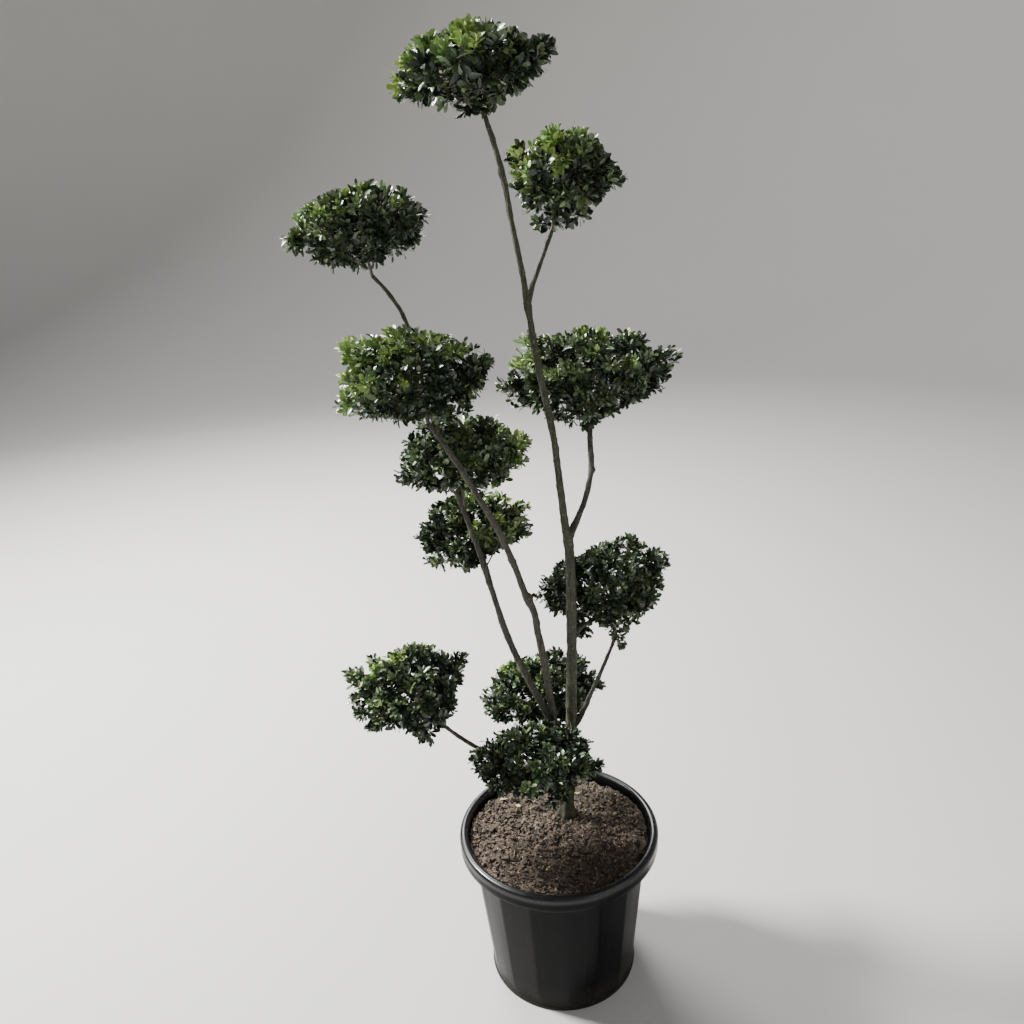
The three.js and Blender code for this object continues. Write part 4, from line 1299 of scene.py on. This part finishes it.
class SHRUB_OT_litter(bpy.types.Operator):
    """Strew bark chips, granules and dry leaves over the compost"""

    bl_idname = "shrub.litter"
    bl_label = "Chips and granules"

    def execute(self, context):
        settings = context.scene.shrub_compost
        for kind, (part, seed, sizes) in CHIPS.items():
            points, quads = flakes(int(settings.chips * part), seed, sizes, settings)
            material = crumb_material(kind)
            add_piece("bark_chips_" + kind, points, quads, material, "compost", smooth=False)
        points, quads = flakes(settings.granules, 25, GRANULES, settings, 1.2, 1.0)
        grains = mesh_object("granules", points * MM, quads)
        rounding = grains.modifiers.new("rounding", "SUBSURF")
        rounding.levels = rounding.render_levels = 1
        keep_modified(grains)
        finish_piece(grains, crumb_material("granule"), "compost")
        rng = np.random.default_rng(24)
        count = settings.fallen_leaves
        x, y = strewn(rng, count, FALLEN_LEAF_RADIUS)
        z = compost_height(x, y, settings.relief / MM) + 1.6
        grow = unit(rng.normal(size=(count, 3)) * (1, 1, 0.15))
        facing = squared(UP + rng.normal(0, 0.25, (count, 3)), grow)
        root = np.stack([x, y, z], -1)
        fallen = {"root": root, "grow": grow, "facing": facing, "long": rng.uniform(11, 19, count)}
        points, faces = leaf_blades(fallen, 0.45, 26)
        add_piece("fallen_leaves", points, faces, crumb_material("dry_leaf"), "compost")
        return {"FINISHED"}


class SHRUB_OT_stems(bpy.types.Operator):
    """Build the trunk, stems and boughs with their bark"""

    bl_idname = "shrub.stems"
    bl_label = "Trunk, stems and boughs"

    def execute(self, context):
        settings = context.scene.shrub_stems
        for index, limb in enumerate(LIMBS):
            points, faces = bark_tube(limb, index, settings)
            material = bark_material(limb["bark"])
            add_piece(limb["name"] + "_bark", points, faces, material, "bark", limb["name"])
        return {"FINISHED"}


class SHRUB_OT_twigs(bpy.types.Operator):
    """Build the twigs and shoots inside the heads"""

    bl_idname = "shrub.twigs"
    bl_label = "Twigs"

    def execute(self, context):
        points, quads = joined([tube for woody, _, _ in grown_heads() for tube in woody])
        add_piece("twigs_woody", points, quads, twig_material("twig"), "bark", *HEAD_NODES)
        points, quads = joined([green for _, green, _ in grown_heads()])
        add_piece("shoots_green", points, quads, twig_material("green_twig"), "leaf", *HEAD_NODES)
        return {"FINISHED"}


class SHRUB_OT_leaves(bpy.types.Operator):
    """Build the leaves of all the heads, in pieces of one tint each"""

    bl_idname = "shrub.leaves"
    bl_label = "Leaves"

    def execute(self, context):
        settings = context.scene.shrub_foliage
        heads = [foliage for _, _, foliage in grown_heads()]
        everything = {key: np.concatenate([head[key] for head in heads]) for key in heads[0]}
        for age, tint in enumerate(LEAF_TINTS):
            these = everything["tint"] == age
            own = {key: value[these] for key, value in everything.items()}
            points, faces = leaf_blades(own, settings.leaf_width, 800 + age)
            parts = math.ceil(len(faces) / MOST_TRIANGLES)
            leaves_each = math.ceil(len(faces) / LEAF_TRIANGLES / parts)
            for part in range(parts):
                first, last = part * leaves_each, (part + 1) * leaves_each
                some_points = points[first * LEAF_POINTS : last * LEAF_POINTS]
                some_faces = faces[first * LEAF_TRIANGLES : last * LEAF_TRIANGLES] - first * LEAF_POINTS
                name = f"leaves_{tint}_{part + 1}"
                add_piece(name, some_points, some_faces, leaf_material(tint), "leaf", *HEAD_NODES)
        return {"FINISHED"}


class SHRUB_OT_stage(bpy.types.Operator):
    """Set the floor, the lights and the camera"""

    bl_idname = "shrub.stage"
    bl_label = "Floor, lights and camera"

    def execute(self, context):
        settings = context.scene.shrub_stage
        profile = [(0, 0), (1, 0), (5.5, 0), *rounded_arc((5.5, 2.5), 2.5, -80, 0, 9), (8, 6), (8, 6.001)]
        points, faces = turned(np.array(profile), STAGE_SIDES)
        floor = mesh_object("floor", points[:-1], faces[:-STAGE_SIDES])  # open at its top
        floor.data.flip_normals()
        material, shader, add = new_material("pale_floor")
        cloud = noise(add, object_point(add), 1.5, 3)
        tone = tuple(settings.floor)
        connect(shader, Base_Color=mix(add, cloud, shade(tone, 0.985), shade(tone, 1.015)), Roughness=0.9)
        floor.data.materials.append(material)
        for name, (place, width) in LIGHTS.items():
            lamp = bpy.data.lights.new(name + "_light", "AREA")
            lamp.size = width
            lamp.energy = getattr(settings, name)
            lamp_object = bpy.data.objects.new(name + "_light", lamp)
            lamp_object.location = place
            way = Vector(LIT_POINT) - Vector(place)
            lamp_object.rotation_euler = way.to_track_quat("-Z", "Y").to_euler()
            context.scene.collection.objects.link(lamp_object)
        world = bpy.data.worlds.new("soft_sky")
        world.use_nodes = True
        background = world.node_tree.nodes["Background"]
        background.inputs["Color"].default_value = opaque(SKY_COLOUR)
        background.inputs["Strength"].default_value = SKY_STRENGTH
        context.scene.world = world
        self.place_camera(context, settings)
        return {"FINISHED"}

    def place_camera(self, context, settings):
        """Puts the camera where the view of the plant's front is taken from."""
        pitch, roll = math.radians(CAMERA_PITCH), math.radians(CAMERA_ROLL)
        forward = Vector((0, math.cos(pitch), -math.sin(pitch)))
        level_up = Vector((0, math.sin(pitch), math.cos(pitch)))
        level_right = Vector((1, 0, 0))
        right = level_right * math.cos(roll) + level_up * math.sin(roll)
        up = -level_right * math.sin(roll) + level_up * math.cos(roll)
        lens = bpy.data.cameras.new("camera")
        lens.sensor_width = SENSOR_WIDTH
        lens.lens = SENSOR_WIDTH * FOCAL_SHARE
        camera = bpy.data.objects.new("camera", lens)
        turn = Matrix((right, up, -forward)).transposed()
        place = Vector((settings.side, -settings.distance, settings.eye_height))
        camera.matrix_world = Matrix.Translation(place) @ turn.to_4x4()
        context.scene.collection.objects.link(camera)
        context.scene.camera = camera


OPERATORS = (
    SHRUB_OT_pot,
    SHRUB_OT_compost,
    SHRUB_OT_litter,
    SHRUB_OT_stems,
    SHRUB_OT_twigs,
    SHRUB_OT_leaves,
    SHRUB_OT_stage,
)


class SHRUB_PT_panel(bpy.types.Panel):
    """The steps that build the shrub, and their settings"""

    bl_label = "Clipped shrub"
    bl_idname = "SHRUB_PT_panel"
    bl_space_type = "VIEW_3D"
    bl_region_type = "UI"
    bl_category = "Shrub"

    def draw(self, context):
        for operator in OPERATORS:
            self.layout.operator(operator.bl_idname)
        for name, group in SETTINGS.items():
            box = self.layout.box()
            box.label(text=group.__doc__)
            for key in group.__annotations__:
                box.prop(getattr(context.scene, name), key)


CLASSES = (*SETTINGS.values(), *OPERATORS, SHRUB_PT_panel)


def register():
    for cls in CLASSES:
        bpy.utils.register_class(cls)
    for name, group in SETTINGS.items():
        setattr(bpy.types.Scene, name, PointerProperty(type=group))


def unregister():
    for name in SETTINGS:
        delattr(bpy.types.Scene, name)
    for cls in reversed(CLASSES):
        bpy.utils.unregister_class(cls)


def main():
    register()
    bpy.ops.shrub.pot()
    bpy.ops.shrub.compost()
    bpy.ops.shrub.litter()
    bpy.ops.shrub.stems()
    bpy.ops.shrub.twigs()
    bpy.ops.shrub.leaves()
    bpy.ops.shrub.stage()
    bpy.context.view_layer.update()


if __name__ == "__main__":
    main()
